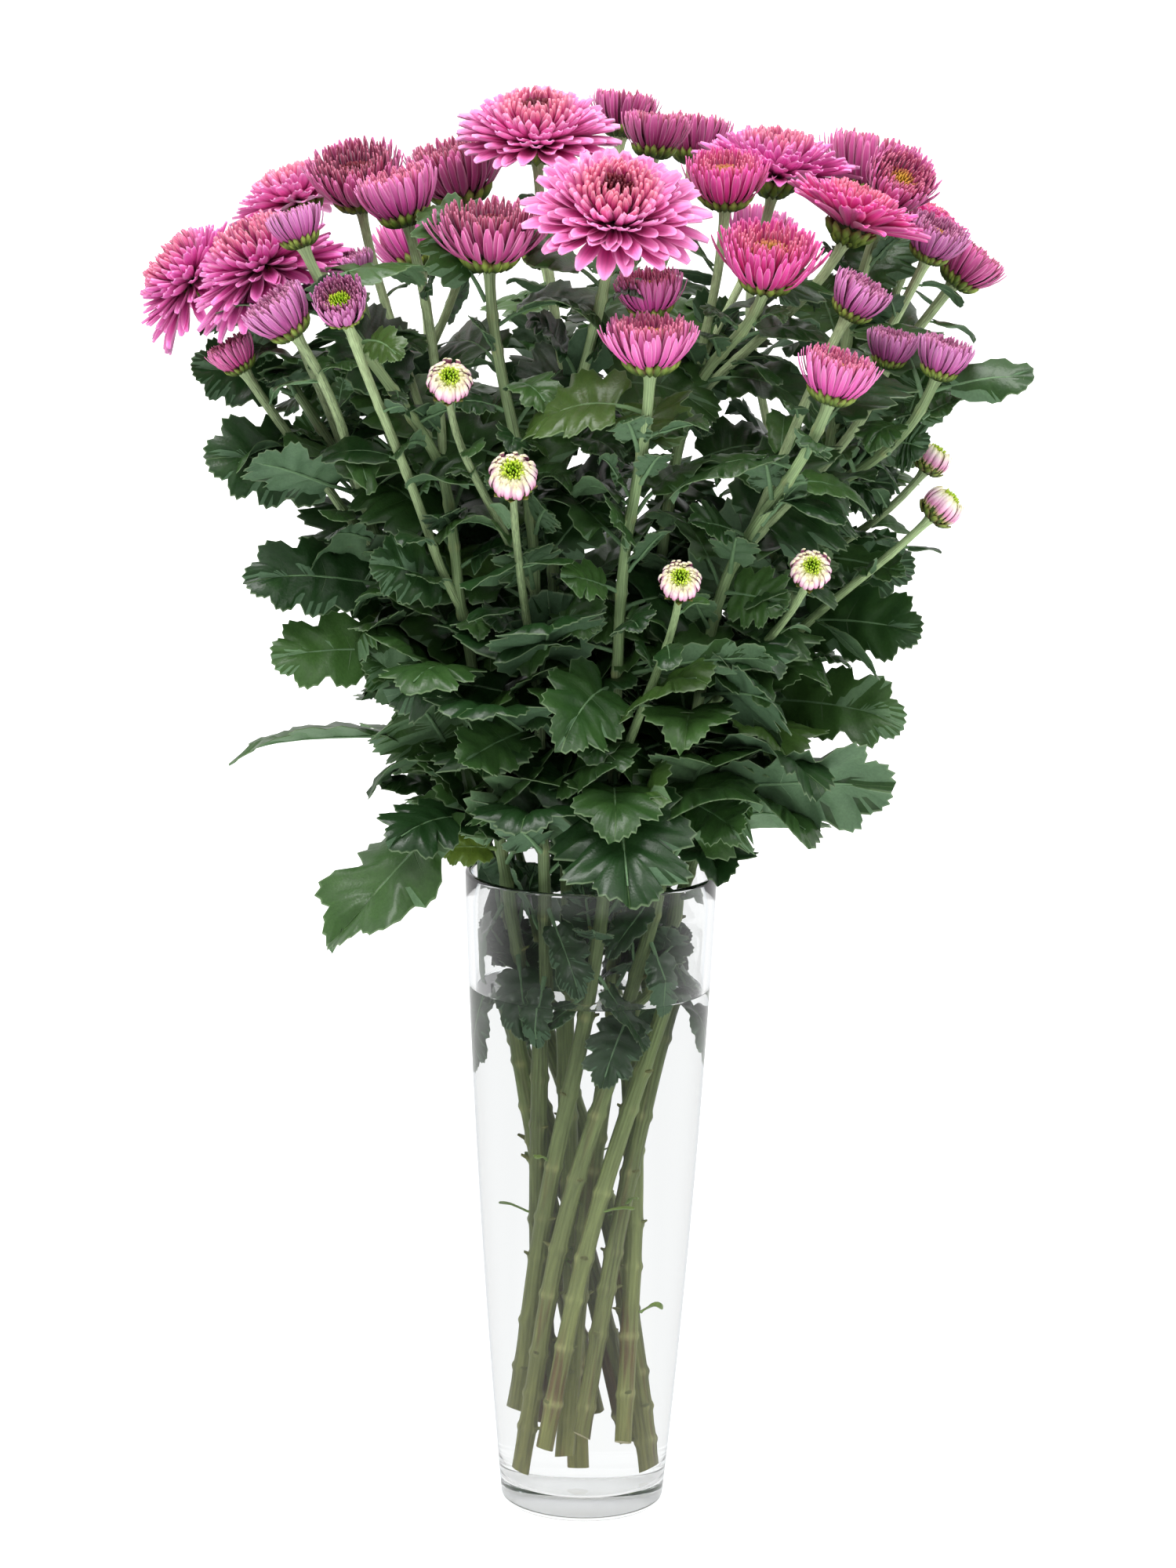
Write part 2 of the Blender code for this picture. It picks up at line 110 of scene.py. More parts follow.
def rings_at(shape, level):
    """The outlines in which a level plane cuts a shape, each as (middle, distance round it)."""
    cut = bmesh.ops.bisect_plane(shape, geom=shape.verts[:] + shape.edges[:] + shape.faces[:],
                                 plane_co=(0, 0, level), plane_no=(0, 0, 1))
    edges = {item for item in cut["geom_cut"] if isinstance(item, bmesh.types.BMEdge)}
    rings = []
    while edges:
        ring, front = set(), [edges.pop()]
        while front:
            edge = front.pop()
            ring.add(edge)
            near = {e for v in edge.verts for e in v.link_edges if e in edges}
            edges -= near
            front += near
        lengths = [e.calc_length() for e in ring]
        middles = [(e.verts[0].co + e.verts[1].co) / 2 for e in ring]
        total = sum(lengths)
        rings.append((sum((m * n for m, n in zip(middles, lengths)), Vector()) / total, total))
    return rings


def trace_strands(node, heads, step=5 * MM):
    """A stem's strands, the thickest first, each as (points, root radius, top radius, head).

    The stem's mesh is sliced level by level, and each strand is followed from its flower head down to the
    cut end, or to where it joins a strand that was followed before it.
    """
    shape = merged(node)
    low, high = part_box(node)
    levels = [rings_at(shape, z) for z in np.arange(low.z + MM, high.z, step)]
    shape.free()
    walks = []
    for head in heads:
        top = max(k for k, rings in enumerate(levels) if rings and rings[0][0].z < head["base"].z - MM)
        walk = [head["base"].copy()]
        girths = []
        picks = []
        for k in range(top, -1, -1):
            guess = walk[-1] + (walk[-1] - walk[-2]) * 0.7 if len(walk) > 2 else walk[-1]
            number = min(range(len(levels[k])), key=lambda n: (levels[k][n][0].xy - guess.xy).length)
            walk.append(levels[k][number][0])
            girths.append(levels[k][number][1])
            picks.append((k, number))
        walks.append((walk, girths, picks, head))
    walks.sort(key=lambda item: -item[1][3])
    used, strands = set(), []
    for walk, girths, picks, head in walks:
        own = next((n for n, pick in enumerate(picks) if pick in used), len(picks))
        count = min(own + 2, len(picks)) if own < len(picks) else own
        used |= set(picks)
        points = walk[:count + 1][::-1]
        if own == len(picks):
            foot = points[0] - (points[1] - points[0]).normalized() * MM
            points.insert(0, foot)
        rise = (points[-1] - points[-3]).normalized().z
        # a level cut through a leaning shoot is an oval, as wide as the shoot and longer by its lean
        top_radius = girths[2] / (math.pi * (1 + 1 / rise))
        if own == len(picks):
            root_radius = girths[-2] / math.tau * FOOT_SHARE
        else:  # a side shoot starts inside its parent, and no thicker than that
            root_radius = 0.85 * min(radius_near(strand, points[0]) for strand in strands)
        strands.append((smoothed(points), root_radius, top_radius, head))
    return strands


def radius_near(strand, place):
    """A strand's radius where it passes a place, or a metre if it doesn't pass near it."""
    points, root, top, _ = strand
    gaps = np.linalg.norm(points - np.array(place), axis=1)
    share = route_length(points)[gaps.argmin()] / route_length(points)[-1]
    return root + (top - root) * share if gaps.min() < 6 * MM else 1.0


def smoothed(points, rounds=3):
    """The same route with its small kinks eased."""
    route = np.array(points)
    for _ in range(rounds):
        route[1:-1] = route[1:-1] / 2 + (route[:-2] + route[2:]) / 4
    return route


def read_leaf(node, stems):
    """An outer leaf's place from its plain solid, as the settings that grow_leaf takes."""
    shape = merged(node)
    points = [v.co.copy() for v in shape.verts]
    shape.free()
    start, _ = min(((p, Vector(q)) for strands in stems for q in strands[0][0] for p in points),
                   key=lambda pair: (pair[0] - pair[1]).length)
    tip = max(points, key=lambda p: (p - start).length)
    chord = tip - start
    near = [p for p in points if abs((p - start).dot(chord) / chord.length_squared - 0.5) < 0.05]
    widest = max(((p, q) for p in points for q in points),
                 key=lambda pair: (pair[0] - pair[1]).cross(chord).length)
    side = widest[0] - widest[1]
    side -= chord * side.dot(chord) / chord.length_squared
    width = side.length
    rib = min(near, key=lambda p: abs((p - start).dot(side.normalized())))
    droop = max(0.0, 4 * (rib.z - (start.z + tip.z) / 2))
    way = tip + Vector((0, 0, droop)) - start
    level = way.cross(Vector((0, 0, 1))).normalized()
    if side.dot(level) < 0:
        side.negate()
    return {"start": start, "way": way.normalized(), "length": way.length, "width": width,
            "droop": droop, "facing": side.cross(way)}


def rim_height():
    """How high the rim of the vase is."""
    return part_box("vase")[1].z


def stem_top():
    """How high the stems reach: to the underside of the highest open flower."""
    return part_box("open_flower_05")[0].z


def route_length(points):
    """How far along the route each of its points is."""
    steps = np.linalg.norm(np.diff(points, axis=0), axis=1)
    return np.concatenate([[0], np.cumsum(steps)])


def on_route(points, distance):
    """The place and the direction of a route at a distance along it."""
    lengths = route_length(points)
    at = [Vector([np.interp(d, lengths, points[:, k]) for k in range(3)])
          for d in (distance - MM, distance, distance + MM)]
    return at[1], (at[2] - at[0]).normalized()


def outward_at(way, turn_at):
    """The direction that points out of a route at right angles to it, at a turn about the vertical."""
    flat = Vector((math.cos(turn_at), math.sin(turn_at), 0))
    return (flat - way * flat.dot(way)).normalized()


# ---------------------------------------------------------------- shaping


def new_shape():
    """An empty mesh in the making. Its surface layer holds (across, depth, along), its growth layer
    (how far inside the flower or up the plant, a tint of its own, kind)."""
    shape = bmesh.new()
    shape.verts.layers.float_vector.new("surface")
    shape.verts.layers.float_vector.new("growth")
    return shape


def loft(shape, section, stations, along=None):
    """Stretches a closed outline from station to station and caps its ends; gives its faces back."""
    layer = shape.verts.layers.float_vector["surface"]
    before = set(shape.faces)
    ring = [shape.verts.new(stations[0] @ Vector((x, y, 0))) for x, y in section]
    cap = shape.faces.new(ring)
    edges = cap.edges[:]
    rings = [ring]
    for last, place in zip(stations, stations[1:]):
        grown = bmesh.ops.extrude_edge_only(shape, edges=edges)["geom"]
        ring = [item for item in grown if isinstance(item, bmesh.types.BMVert)]
        fresh = set(ring)
        edges = [item for item in grown if isinstance(item, bmesh.types.BMEdge)
                 and item.verts[0] in fresh and item.verts[1] in fresh]
        bmesh.ops.transform(shape, matrix=place @ last.inverted(), verts=ring)
        rings.append(ring)
    bmesh.ops.contextual_create(shape, geom=edges)
    shares = np.linspace(0, 1, len(stations)) if along is None else along
    for ring, place, share in zip(rings, stations, shares):
        back = place.inverted()
        for vertex in ring:
            local = back @ vertex.co
            vertex[layer] = (local.x, local.y, share)
    faces = [face for face in shape.faces if face not in before]
    bmesh.ops.recalc_face_normals(shape, faces=faces)
    return faces


def station(at, side, up, way, half, depth):
    """A place for a loft's outline: its middle, its two directions and half its size along each."""
    place = Matrix.Identity(4)
    for column, vector in enumerate((side * half, up * depth, way)):
        place.col[column][:3] = vector
    place.translation = at
    return place


def circle(sides, ridge=0.0):
    """A round outline of size one, with every second corner set in by the ridge."""
    return [((1 - ridge * (n % 2)) * math.cos(math.tau * n / sides),
             (1 - ridge * (n % 2)) * math.sin(math.tau * n / sides)) for n in range(sides)]


def turned(profile, steps):
    """A turned shape about Z from (radius, height) points that start and end on the axis."""
    shape = new_shape()
    points = [shape.verts.new((radius, 0, height)) for radius, height in profile]
    edges = [shape.edges.new(pair) for pair in zip(points, points[1:])]
    bmesh.ops.spin(shape, geom=points + edges, axis=(0, 0, 1), cent=(0, 0, 0), steps=steps,
                   angle=math.tau, use_merge=True)
    bmesh.ops.remove_doubles(shape, verts=shape.verts, dist=0.002 * MM)
    bmesh.ops.recalc_face_normals(shape, faces=shape.faces)
    return shape


def kept(shape, material_index=0):
    """A finished small shape as a mesh that can be planted many times."""
    for face in shape.faces:
        face.material_index = material_index
    mesh = bpy.data.meshes.new("seedling")
    shape.to_mesh(mesh)
    shape.free()
    return mesh


def plant(shape, seedling, place, growth):
    """Adds a copy of a small shape at a place."""
    first = len(shape.verts)
    shape.from_mesh(seedling)
    fresh = shape.verts[first:]
    bmesh.ops.transform(shape, matrix=place, verts=fresh)
    layer = shape.verts.layers.float_vector["growth"]
    for vertex in fresh:
        vertex[layer] = growth


def add_piece(name, shape, materials, replaces=(), sharp=50):
    """Makes the finished piece: smooth, in place, riding on the body, in its material slot."""
    mesh = bpy.data.meshes.new(name)
    shape.to_mesh(mesh)
    shape.free()
    mesh.shade_smooth()
    mesh.set_sharp_from_angle(angle=math.radians(sharp))
    for material in materials:
        mesh.materials.append(material)
    piece = bpy.data.objects.new(name, mesh)
    bpy.context.scene.collection.objects.link(piece)
    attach(piece, "root")
    if replaces:
        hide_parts(*replaces)
    return piece


def aim(axis, at):
    """The place whose Z points along the axis."""
    return Matrix.Translation(at) @ axis.to_track_quat("Z", "Y").to_matrix().to_4x4()


# ---------------------------------------------------------------- materials

SOFT = {"interpolation_type": "SMOOTHSTEP"}  # for a share that goes softly from 0 to 1 between two values
RGBA = {"data_type": "RGBA"}  # for a mix of colours: its inputs are numbers 6 and 7, its output number 2


def add_node(tree, kind, inputs=(), output=0, stops=(), **settings):
    """Adds a node, makes its settings and gives its inputs, by name or in order, numbers or the outputs
    of other nodes. Gives back one of its own outputs."""
    made = tree.nodes.new(f"ShaderNode{kind}")
    for name, value in settings.items():
        setattr(made, name, value)
    for name, value in inputs.items() if isinstance(inputs, dict) else enumerate(inputs):
        if isinstance(value, bpy.types.NodeSocket):
            tree.links.new(value, made.inputs[name])
        else:
            made.inputs[name].default_value = value
    for number, (position, colour) in enumerate(stops):
        elements = made.color_ramp.elements
        element = elements[number] if number < 2 else elements.new(position)
        element.position = position
        element.color = colour
    return made.outputs[output]


def start_material(name, roughness, **sockets):
    """A new material with its shader's plain values set; gives the material, its tree and its shader."""
    made = bpy.data.materials.new(name)
    made.use_nodes = True
    shader = made.node_tree.nodes["Principled BSDF"]
    shader.inputs["Roughness"].default_value = roughness
    for socket, value in sockets.items():
        shader.inputs[socket.replace("_", " ")].default_value = value
    return made, made.node_tree, shader


def read_layer(tree, name):
    """The three numbers that a mesh layer holds, as sockets."""
    layer = add_node(tree, "Attribute", output="Vector", attribute_name=name)
    return add_node(tree, "SeparateXYZ", (layer,)).node.outputs


def finish_skin(tree, shader, colour, value, height=None, strength=0.5, relief=0.3 * MM):
    """Gives a skin its colour, made lighter or darker by a value, and its relief."""
    shaded = add_node(tree, "HueSaturation", {"Color": colour, "Value": value})
    tree.links.new(shaded, shader.inputs["Base Color"])
    if height is not None:
        bump = add_node(tree, "Bump", {"Height": height, "Strength": strength, "Distance": relief})
        tree.links.new(bump, shader.inputs["Normal"])


def petal_material(name, outer, inner, channel_shade, start, margin):
    """Ray florets: soft, satin petal skin with a fine grain along it. The outer florets run from a base
    darkened with painted shade, where they sit deep in the head, to a pale tip, with paler margins and
    painted shade in their channel. The inner ones, which begin at a share of the way in, are darkened with
    painted shade at the foot and warm at the tip."""
    made, tree, shader = start_material(name, 0.5, Sheen_Weight=0.15, Specular_IOR_Level=0.35)
    across, depth, along = read_layer(tree, "surface")
    inside, tint, _ = read_layer(tree, "growth")
    # the dark stops at the foot of both ramps are painted shade, where the florets sit deep in the head
    outer_skin, inner_skin = [
        add_node(tree, "ValToRGB", (along,), stops=zip(places, map(linear, colours)))
        for places, colours in (((0.0, 0.45, 1.0), outer), ((0.15, 0.7, 1.0), inner))]
    inward = add_node(tree, "MapRange", (inside, start, start + 0.35), **SOFT)
    colour = add_node(tree, "Mix", {0: inward, 6: outer_skin, 7: inner_skin}, 2, **RGBA)
    outward = add_node(tree, "Math", (across,), operation="ABSOLUTE")
    # painted shade in each floret's channel, strongest at its foot on the upper side: the trough colour is
    # this shade
    rootward = add_node(tree, "Math", (1.3, along), operation="SUBTRACT", use_clamp=True)
    middle = add_node(tree, "MapRange", (outward, 0.75, 0.1), **SOFT)
    upper = add_node(tree, "MapRange", (depth, -0.3, 0.3), **SOFT)
    deep = add_node(tree, "Math", (middle, rootward), operation="MULTIPLY")
    deep = add_node(tree, "Math", (deep, upper), operation="MULTIPLY")
    deep = add_node(tree, "Math", (deep, 0.8), operation="MULTIPLY")
    colour = add_node(tree, "Mix", {0: deep, 6: colour, 7: linear(channel_shade)}, 2, **RGBA)
    edge = add_node(tree, "MapRange", (outward, 0.55, 1.0), **SOFT)
    tipward = add_node(tree, "Math", (along, 0.5), operation="MULTIPLY")
    pale = add_node(tree, "Math", (edge, tipward), operation="MULTIPLY")
    colour = add_node(tree, "Mix", {0: pale, 6: colour, 7: margin}, 2, **RGBA)
    # the fine veins run the length of a floret, about four to its width
    shift = add_node(tree, "Math", (tint, 40), operation="MULTIPLY")
    veins_at = add_node(tree, "CombineXYZ", (
        add_node(tree, "Math", (across, 2.6, shift), operation="MULTIPLY_ADD"),
        add_node(tree, "Math", (along, 0.9), operation="MULTIPLY"),
        add_node(tree, "Math", (tint, 17), operation="MULTIPLY")))
    grain = add_node(tree, "TexNoise", {"Vector": veins_at, "Scale": 1.6, "Detail": 2.0})
    value = add_node(tree, "Math", (grain, 0.7, 0.62), operation="MULTIPLY_ADD")
    own = add_node(tree, "Math", (tint, 0.24, 0.9), operation="MULTIPLY_ADD")
    value = add_node(tree, "Math", (value, own), operation="MULTIPLY")
    finish_skin(tree, shader, colour, value, grain, 0.35)
    return made


def bud_petal_material():
    """Bud florets: tight and waxy, white with rose tips outside, lemon then lime towards the heart."""
    made, tree, shader = start_material("bud florets, waxy, white to lime", 0.45)
    _, _, along = read_layer(tree, "surface")
    inside, tint, _ = read_layer(tree, "growth")
    stops = ((0.0, "#A8B848"), (1.0, "#F2EEB8"), (0.3, "#D988B4"), (0.6, "#EEC6D8"), (0.82, "#F6ECDC"))
    outer = add_node(tree, "ValToRGB", (along,), stops=[(place, linear(code)) for place, code in stops])
    inward = add_node(tree, "MapRange", (inside, 0.4, 0.85), **SOFT)
    colour = add_node(tree, "Mix", {0: inward, 6: outer, 7: linear("#D6DE6A")}, 2, **RGBA)
    value = add_node(tree, "Math", (tint, 0.25, 0.86), operation="MULTIPLY_ADD")
    finish_skin(tree, shader, colour, value)
    return made


def disc_material(name, rim, heart):
    """Disc florets: closed, waxy tips, tight as beads, with one colour at the rim and one in the heart."""
    made, tree, shader = start_material(name, 0.45)
    _, _, along = read_layer(tree, "surface")
    inside, tint, _ = read_layer(tree, "growth")
    inward = add_node(tree, "MapRange", (inside, 0.2, 0.9), **SOFT)
    colour = add_node(tree, "Mix", {0: inward, 6: linear(rim), 7: linear(heart)}, 2, **RGBA)
    # each bead is painted darker at its foot and lighter at its tip: painted shade between the tight beads
    # and painted light on their tops
    value = add_node(tree, "Math", (along, 0.8, 0.45), operation="MULTIPLY_ADD")
    own = add_node(tree, "Math", (tint, 0.4, 0.8), operation="MULTIPLY_ADD")
    value = add_node(tree, "Math", (value, own), operation="MULTIPLY")
    finish_skin(tree, shader, colour, value)
    return made


def scale_material():
    """Calyx scales: dull green leaf skin, with a thin brown papery edge round each scale."""
    made, tree, shader = start_material("calyx scale, dull green with papery edge", 0.62)
    across, _, along = read_layer(tree, "surface")
    _, tint, _ = read_layer(tree, "growth")
    green = add_node(tree, "Mix", {0: tint, 6: linear("#5F7A22"), 7: linear("#94A844")}, 2, **RGBA)
    # each scale is painted dark green at its foot, where the next row overlaps it: painted shade between the
    # tiles
    upward = add_node(tree, "MapRange", (along, 0.2, 0.8), **SOFT)
    green = add_node(tree, "Mix", {0: upward, 6: linear("#3E5216"), 7: green}, 2, **RGBA)
    outward = add_node(tree, "Math", (across,), operation="ABSOLUTE")
    edge = add_node(tree, "MapRange", (outward, 0.45, 0.9), **SOFT)
    tip = add_node(tree, "MapRange", (along, 0.82, 1.0), **SOFT)
    papery = add_node(tree, "Math", (edge, tip), operation="MAXIMUM")
    papery = add_node(tree, "Math", (papery, 0.7), operation="MULTIPLY")
    colour = add_node(tree, "Mix", {0: papery, 6: green, 7: linear("#6A5030")}, 2, **RGBA)
    tree.links.new(colour, shader.inputs["Base Color"])
    return made


def stem_material():
    """Stem rind: matt, ribbed, with fine pale down above and olive, brown-streaked skin under water."""
    made, tree, shader = start_material("stem rind, matt and ribbed", 0.6, Specular_IOR_Level=0.35)
    across, depth, along = read_layer(tree, "surface")
    age, tint, joint = read_layer(tree, "growth")
    stops = ((0.0, "#6F6E3A"), (1.0, "#A2B686"), (0.35, "#738250"), (0.6, "#6F855A"), (0.8, "#86A06E"))
    skin = add_node(tree, "ValToRGB", (age,), stops=[(place, linear(code)) for place, code in stops])
    shift = add_node(tree, "Math", (tint, 30), operation="MULTIPLY")
    ribs_at = add_node(tree, "CombineXYZ", (
        add_node(tree, "Math", (across, 2.0), operation="MULTIPLY"),
        add_node(tree, "Math", (depth, 2.0), operation="MULTIPLY"),
        add_node(tree, "Math", (along, 18.0, shift), operation="MULTIPLY_ADD")))
    streak = add_node(tree, "TexNoise", {"Vector": ribs_at, "Scale": 1.4, "Detail": 3.0, "Roughness": 0.6})
    blotch = add_node(tree, "TexNoise", {"Vector": ribs_at, "Scale": 0.45, "Detail": 1.0})
    stained = add_node(tree, "MapRange", (blotch, 0.56, 0.7), **SOFT)
    low = add_node(tree, "MapRange", (age, 0.5, 0.1), **SOFT)
    old = add_node(tree, "Math", (stained, low), operation="MULTIPLY")
    old = add_node(tree, "Math", (old, 0.8), operation="MULTIPLY")
    colour = add_node(tree, "Mix", {0: old, 6: skin, 7: linear("#5A3F28")}, 2, **RGBA)
    patchy = add_node(tree, "MapRange", (blotch, 0.4, 0.7), **SOFT)
    joint = add_node(tree, "Math", (joint, patchy), operation="MULTIPLY")
    joint = add_node(tree, "Math", (joint, 0.5), operation="MULTIPLY")
    colour = add_node(tree, "Mix", {0: joint, 6: colour, 7: linear("#A9AC74")}, 2, **RGBA)
    angle = add_node(tree, "Math", (across, depth), operation="ARCTAN2")
    ribs = add_node(tree, "Math", (angle, 14.0), operation="MULTIPLY")
    ribs = add_node(tree, "Math", (ribs,), operation="SINE")
    own = add_node(tree, "Math", (tint, 0.5), operation="MULTIPLY")
    value = add_node(tree, "Math", (streak, 1.5, own), operation="MULTIPLY_ADD")
    # painted light on the crests of the ribs and painted shade in the furrows between them
    lit = add_node(tree, "Math", (ribs, 0.08), operation="MULTIPLY")
    value = add_node(tree, "Math", (value, lit), operation="ADD")
    raised = add_node(tree, "Math", (ribs, 0.3), operation="MULTIPLY")
    height = add_node(tree, "Math", (streak, 0.6, raised), operation="MULTIPLY_ADD")
    finish_skin(tree, shader, colour, value, height)
    return made


def pith_material():
    """Cut pith: the pale, dry face of a cut stem."""
    made, tree, shader = start_material("cut pith, pale and dry", 0.8)
    where = add_node(tree, "TexCoord", output="Object")
    spots = add_node(tree, "TexNoise", {"Vector": where, "Scale": 900.0})
    colour = add_node(tree, "Mix", {0: spots, 6: linear("#8C8660"), 7: linear("#C3BC94")}, 2, **RGBA)
    tree.links.new(colour, shader.inputs["Base Color"])
    return made


def leaf_materials(settings):
    """Leaf skins: satin, deep green above with paler veins, and dull grey-green beneath."""
    return [leaf_skin("leaf upper side, satin", settings.deep, settings.fresh, linear("#73925E"), 0.36, -1.0),
            leaf_skin("leaf underside, dull", linear("#486648"), linear("#6A8C62"), linear("#92AE88"),
                      0.66, 1.0)]


def leaf_skin(name, dark, light, vein, roughness, raised):
    """One side of a leaf, mottled, with its veins sunk or raised."""
    made, tree, shader = start_material(name, roughness, Specular_IOR_Level=0.45)
    across, lobe, _ = read_layer(tree, "surface")
    age, tint, _ = read_layer(tree, "growth")
    where = add_node(tree, "TexCoord", output="Object")
    # 4 mm blotches and 0.8 mm grain, the size of the net between the veins
    blotch = add_node(tree, "TexNoise", {"Vector": where, "Scale": 90.0, "Detail": 2.0})
    net = add_node(tree, "TexNoise", {"Vector": where, "Scale": 900.0, "Detail": 2.0})
    mottled = add_node(tree, "Math", (blotch, 0.7, -0.5), operation="MULTIPLY_ADD")
    mottled = add_node(tree, "Math", (tint, 0.9, mottled), operation="MULTIPLY_ADD", use_clamp=True)
    colour = add_node(tree, "Mix", {0: mottled, 6: dark, 7: light}, 2, **RGBA)
    young = add_node(tree, "Math", (age, 0.9), operation="MULTIPLY")
    colour = add_node(tree, "Mix", {0: young, 6: colour, 7: linear("#8FA83A")}, 2, **RGBA)
    outward = add_node(tree, "Math", (across,), operation="ABSOLUTE")
    rib = add_node(tree, "MapRange", (outward, 0.04, 0.01), **SOFT)
    thin = add_node(tree, "Math", (outward, -0.08, 0.12), operation="MULTIPLY_ADD")
    branch = add_node(tree, "Math", (lobe, thin), operation="DIVIDE")
    branch = add_node(tree, "MapRange", (branch, 1.0, 0.2), **SOFT)
    veins = add_node(tree, "Math", (rib, branch), operation="MAXIMUM")
    paler = add_node(tree, "Math", (veins, 0.45), operation="MULTIPLY")
    colour = add_node(tree, "Mix", {0: paler, 6: colour, 7: vein}, 2, **RGBA)
    # a thin pale line along the leaf's edge: a painted highlight where light catches the margin
    margin = add_node(tree, "MapRange", (outward, 0.96, 1.0), **SOFT)
    margin = add_node(tree, "Math", (margin, 0.35), operation="MULTIPLY")
    colour = add_node(tree, "Mix", {0: margin, 6: colour, 7: linear("#93AB82")}, 2, **RGBA)
    value = add_node(tree, "Math", (net, 0.5, 0.75), operation="MULTIPLY_ADD")
    puckered = add_node(tree, "Math", (net, 0.45), operation="MULTIPLY")
    height = add_node(tree, "Math", (veins, raised, puckered), operation="MULTIPLY_ADD")
    finish_skin(tree, shader, colour, value, height, 0.6, 0.4 * MM)
    return made


def glass_materials(settings):
    """Soda-lime glass, blown and fire polished: clear, mirror smooth, with a faint cold tint. Where the
    water wets it, it bends light only as much as glass does in water."""
    skins = []
    for name, rough, bend in (("soda-lime glass, fire polished", 0.0, 1.5),
                              ("soda-lime glass, wetted", 0.0, 1.5 / 1.33),
                              ("soda-lime glass, ground foot", 0.6, 1.5)):
        made, tree, shader = start_material(name, rough, IOR=bend, Transmission_Weight=1.0)
        facing = add_node(tree, "LayerWeight", {"Blend": 0.5}, "Facing")
        edge = add_node(tree, "MapRange", (facing, 0.72, 1.0), **SOFT)
        tint = add_node(tree, "Mix", {0: edge, 6: linear("#FEFFFF"), 7: settings.edge_tint}, 2, **RGBA)
        tree.links.new(tint, shader.inputs["Base Color"])
        skins.append(made)
    return skins


def water_materials():
    """Tap water: clear, with a bright open surface. Its side, which lies against the glass, shows
    nothing of its own."""
    skins = []
    for name, bend in (("still water, open surface", 1.33), ("still water, side against the glass", 1.0)):
        made, _, shader = start_material(name, 0.0, IOR=bend, Transmission_Weight=1.0)
        shader.inputs["Base Color"].default_value = linear("#FFFFFF")
        skins.append(made)
    return skins


# ---------------------------------------------------------------- vase and water


def vase_walls():
    """The vase as read off its solid: its outer radius as a smooth curve, its wall, its base, its
    height and the radius of its foot."""
    shape = merged("vase")
    tree = BVHTree.FromBMesh(shape)
    foot = max(v.co.xy.length for v in shape.verts if v.co.z < 0.01 * MM)
    shape.free()
    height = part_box("vase")[1].z
    ways = [Vector((math.cos(a), math.sin(a), 0)) for a in np.linspace(0, math.tau, 33)[:-1]]
    levels = np.linspace(0.06, 0.95, 24) * height
    outside = [max(tree.ray_cast(way * height + Vector((0, 0, z)), -way)[0].xy.length for way in ways)
               for z in levels]
    half_way = Vector((0, 0, levels[12]))
    inside = max(tree.ray_cast(half_way, way)[0].xy.length for way in ways)
    base = tree.ray_cast(half_way, Vector((0, 0, -1)))[0].z
    return np.polyfit(levels, outside, 2), outside[12] - inside, base, height, foot


def make_vase(settings):
    """The glass: thick base, rounded heel, thin wall and fire-polished rim."""
    curve, wall, base, height, foot = vase_walls()
    heel = 5 * MM
    lip = wall / 2

    def outer(z):
        return float(np.polyval(curve, z))

    def inner(z):
        bowl = max(0.0, 1 - (z - base) / (12 * MM))
        return outer(z) - wall - 5 * MM * bowl**2.4

    profile = [(0, 0.8 * MM), (foot * 0.55, 0.7 * MM), (foot * 0.8, 0.2 * MM), (foot * 0.86, 0)]
    profile += [(outer(heel) - heel * (1 - math.sin(a)), heel * (1 - math.cos(a)))
                for a in np.linspace(0.15, math.pi / 2, 8)]
    profile += [(outer(z), z) for z in np.linspace(heel, height - lip, 26)[1:]]
    middle = outer(height) - lip
    profile += [(middle + lip * math.cos(a), height - lip + lip * math.sin(a))
                for a in np.linspace(0, math.pi, 9)[1:]]
    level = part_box("water")[1].z
    wet = level + 0.4 * MM
    profile += [(inner(z), z) for z in np.linspace(height - lip, wet, 6)[1:]]
    profile += [(inner(z), z) for z in np.linspace(wet, base + 12 * MM, 18)[1:]]
    profile += [(inner(z), z) for z in np.linspace(base + 10 * MM, base + 1 * MM, 7)]
    floor = inner(base + 1 * MM)
    profile += [(floor * share, base + MM * share**6) for share in (0.96, 0.85, 0.6, 0.3)] + [(0, base)]
    shape = turned(profile, settings.steps)
    for face in shape.faces:
        middle = face.calc_center_median()
        inside = middle.xy.length < outer(middle.z) - wall / 2 and middle.z > base - 0.1 * MM
        ground = middle.z < 0.9 * MM and face.normal.z < -0.9
        face.material_index = 2 if ground else int(inside and middle.z < wet)
    vase = add_piece("clear_glass_vase", shape, glass_materials(settings), ["vase"], sharp=80)
    vase.visible_shadow = False  # the lamps light the stems through the glass
    return inner, base, wet


def make_water(inner, base, wet, settings):
    """The water: it fills the glass from wall to wall, with its edge drawn up a little."""
    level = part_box("water")[1].z
    into = 0.2 * MM  # the side of the water is set just inside the glass
    profile = [(0, base - into), (inner(base + MM) * 0.9, base - into)]
    profile += [(inner(z) + into, z) for z in np.linspace(base + 0.5 * MM, base + 12 * MM, 8)]
    profile += [(inner(z) + into, z) for z in np.linspace(base + 14 * MM, wet, 20)]
    profile += [(inner(level) - edge * MM, level + rise * MM)
                for edge, rise in ((0.1, 0.3), (0.3, 0.15), (0.7, 0.04), (1.5, 0.01))]
    profile += [(inner(level) * 0.5, level), (0, level)]
    shape = turned(profile, settings.steps)
    for face in shape.faces:
        face.material_index = 0 if face.normal.z > 0.3 and face.calc_center_median().z > level / 2 else 1
    water = add_piece("still_water", shape, water_materials(), ["water"], sharp=80)
    water.visible_shadow = False


# ---------------------------------------------------------------- stems


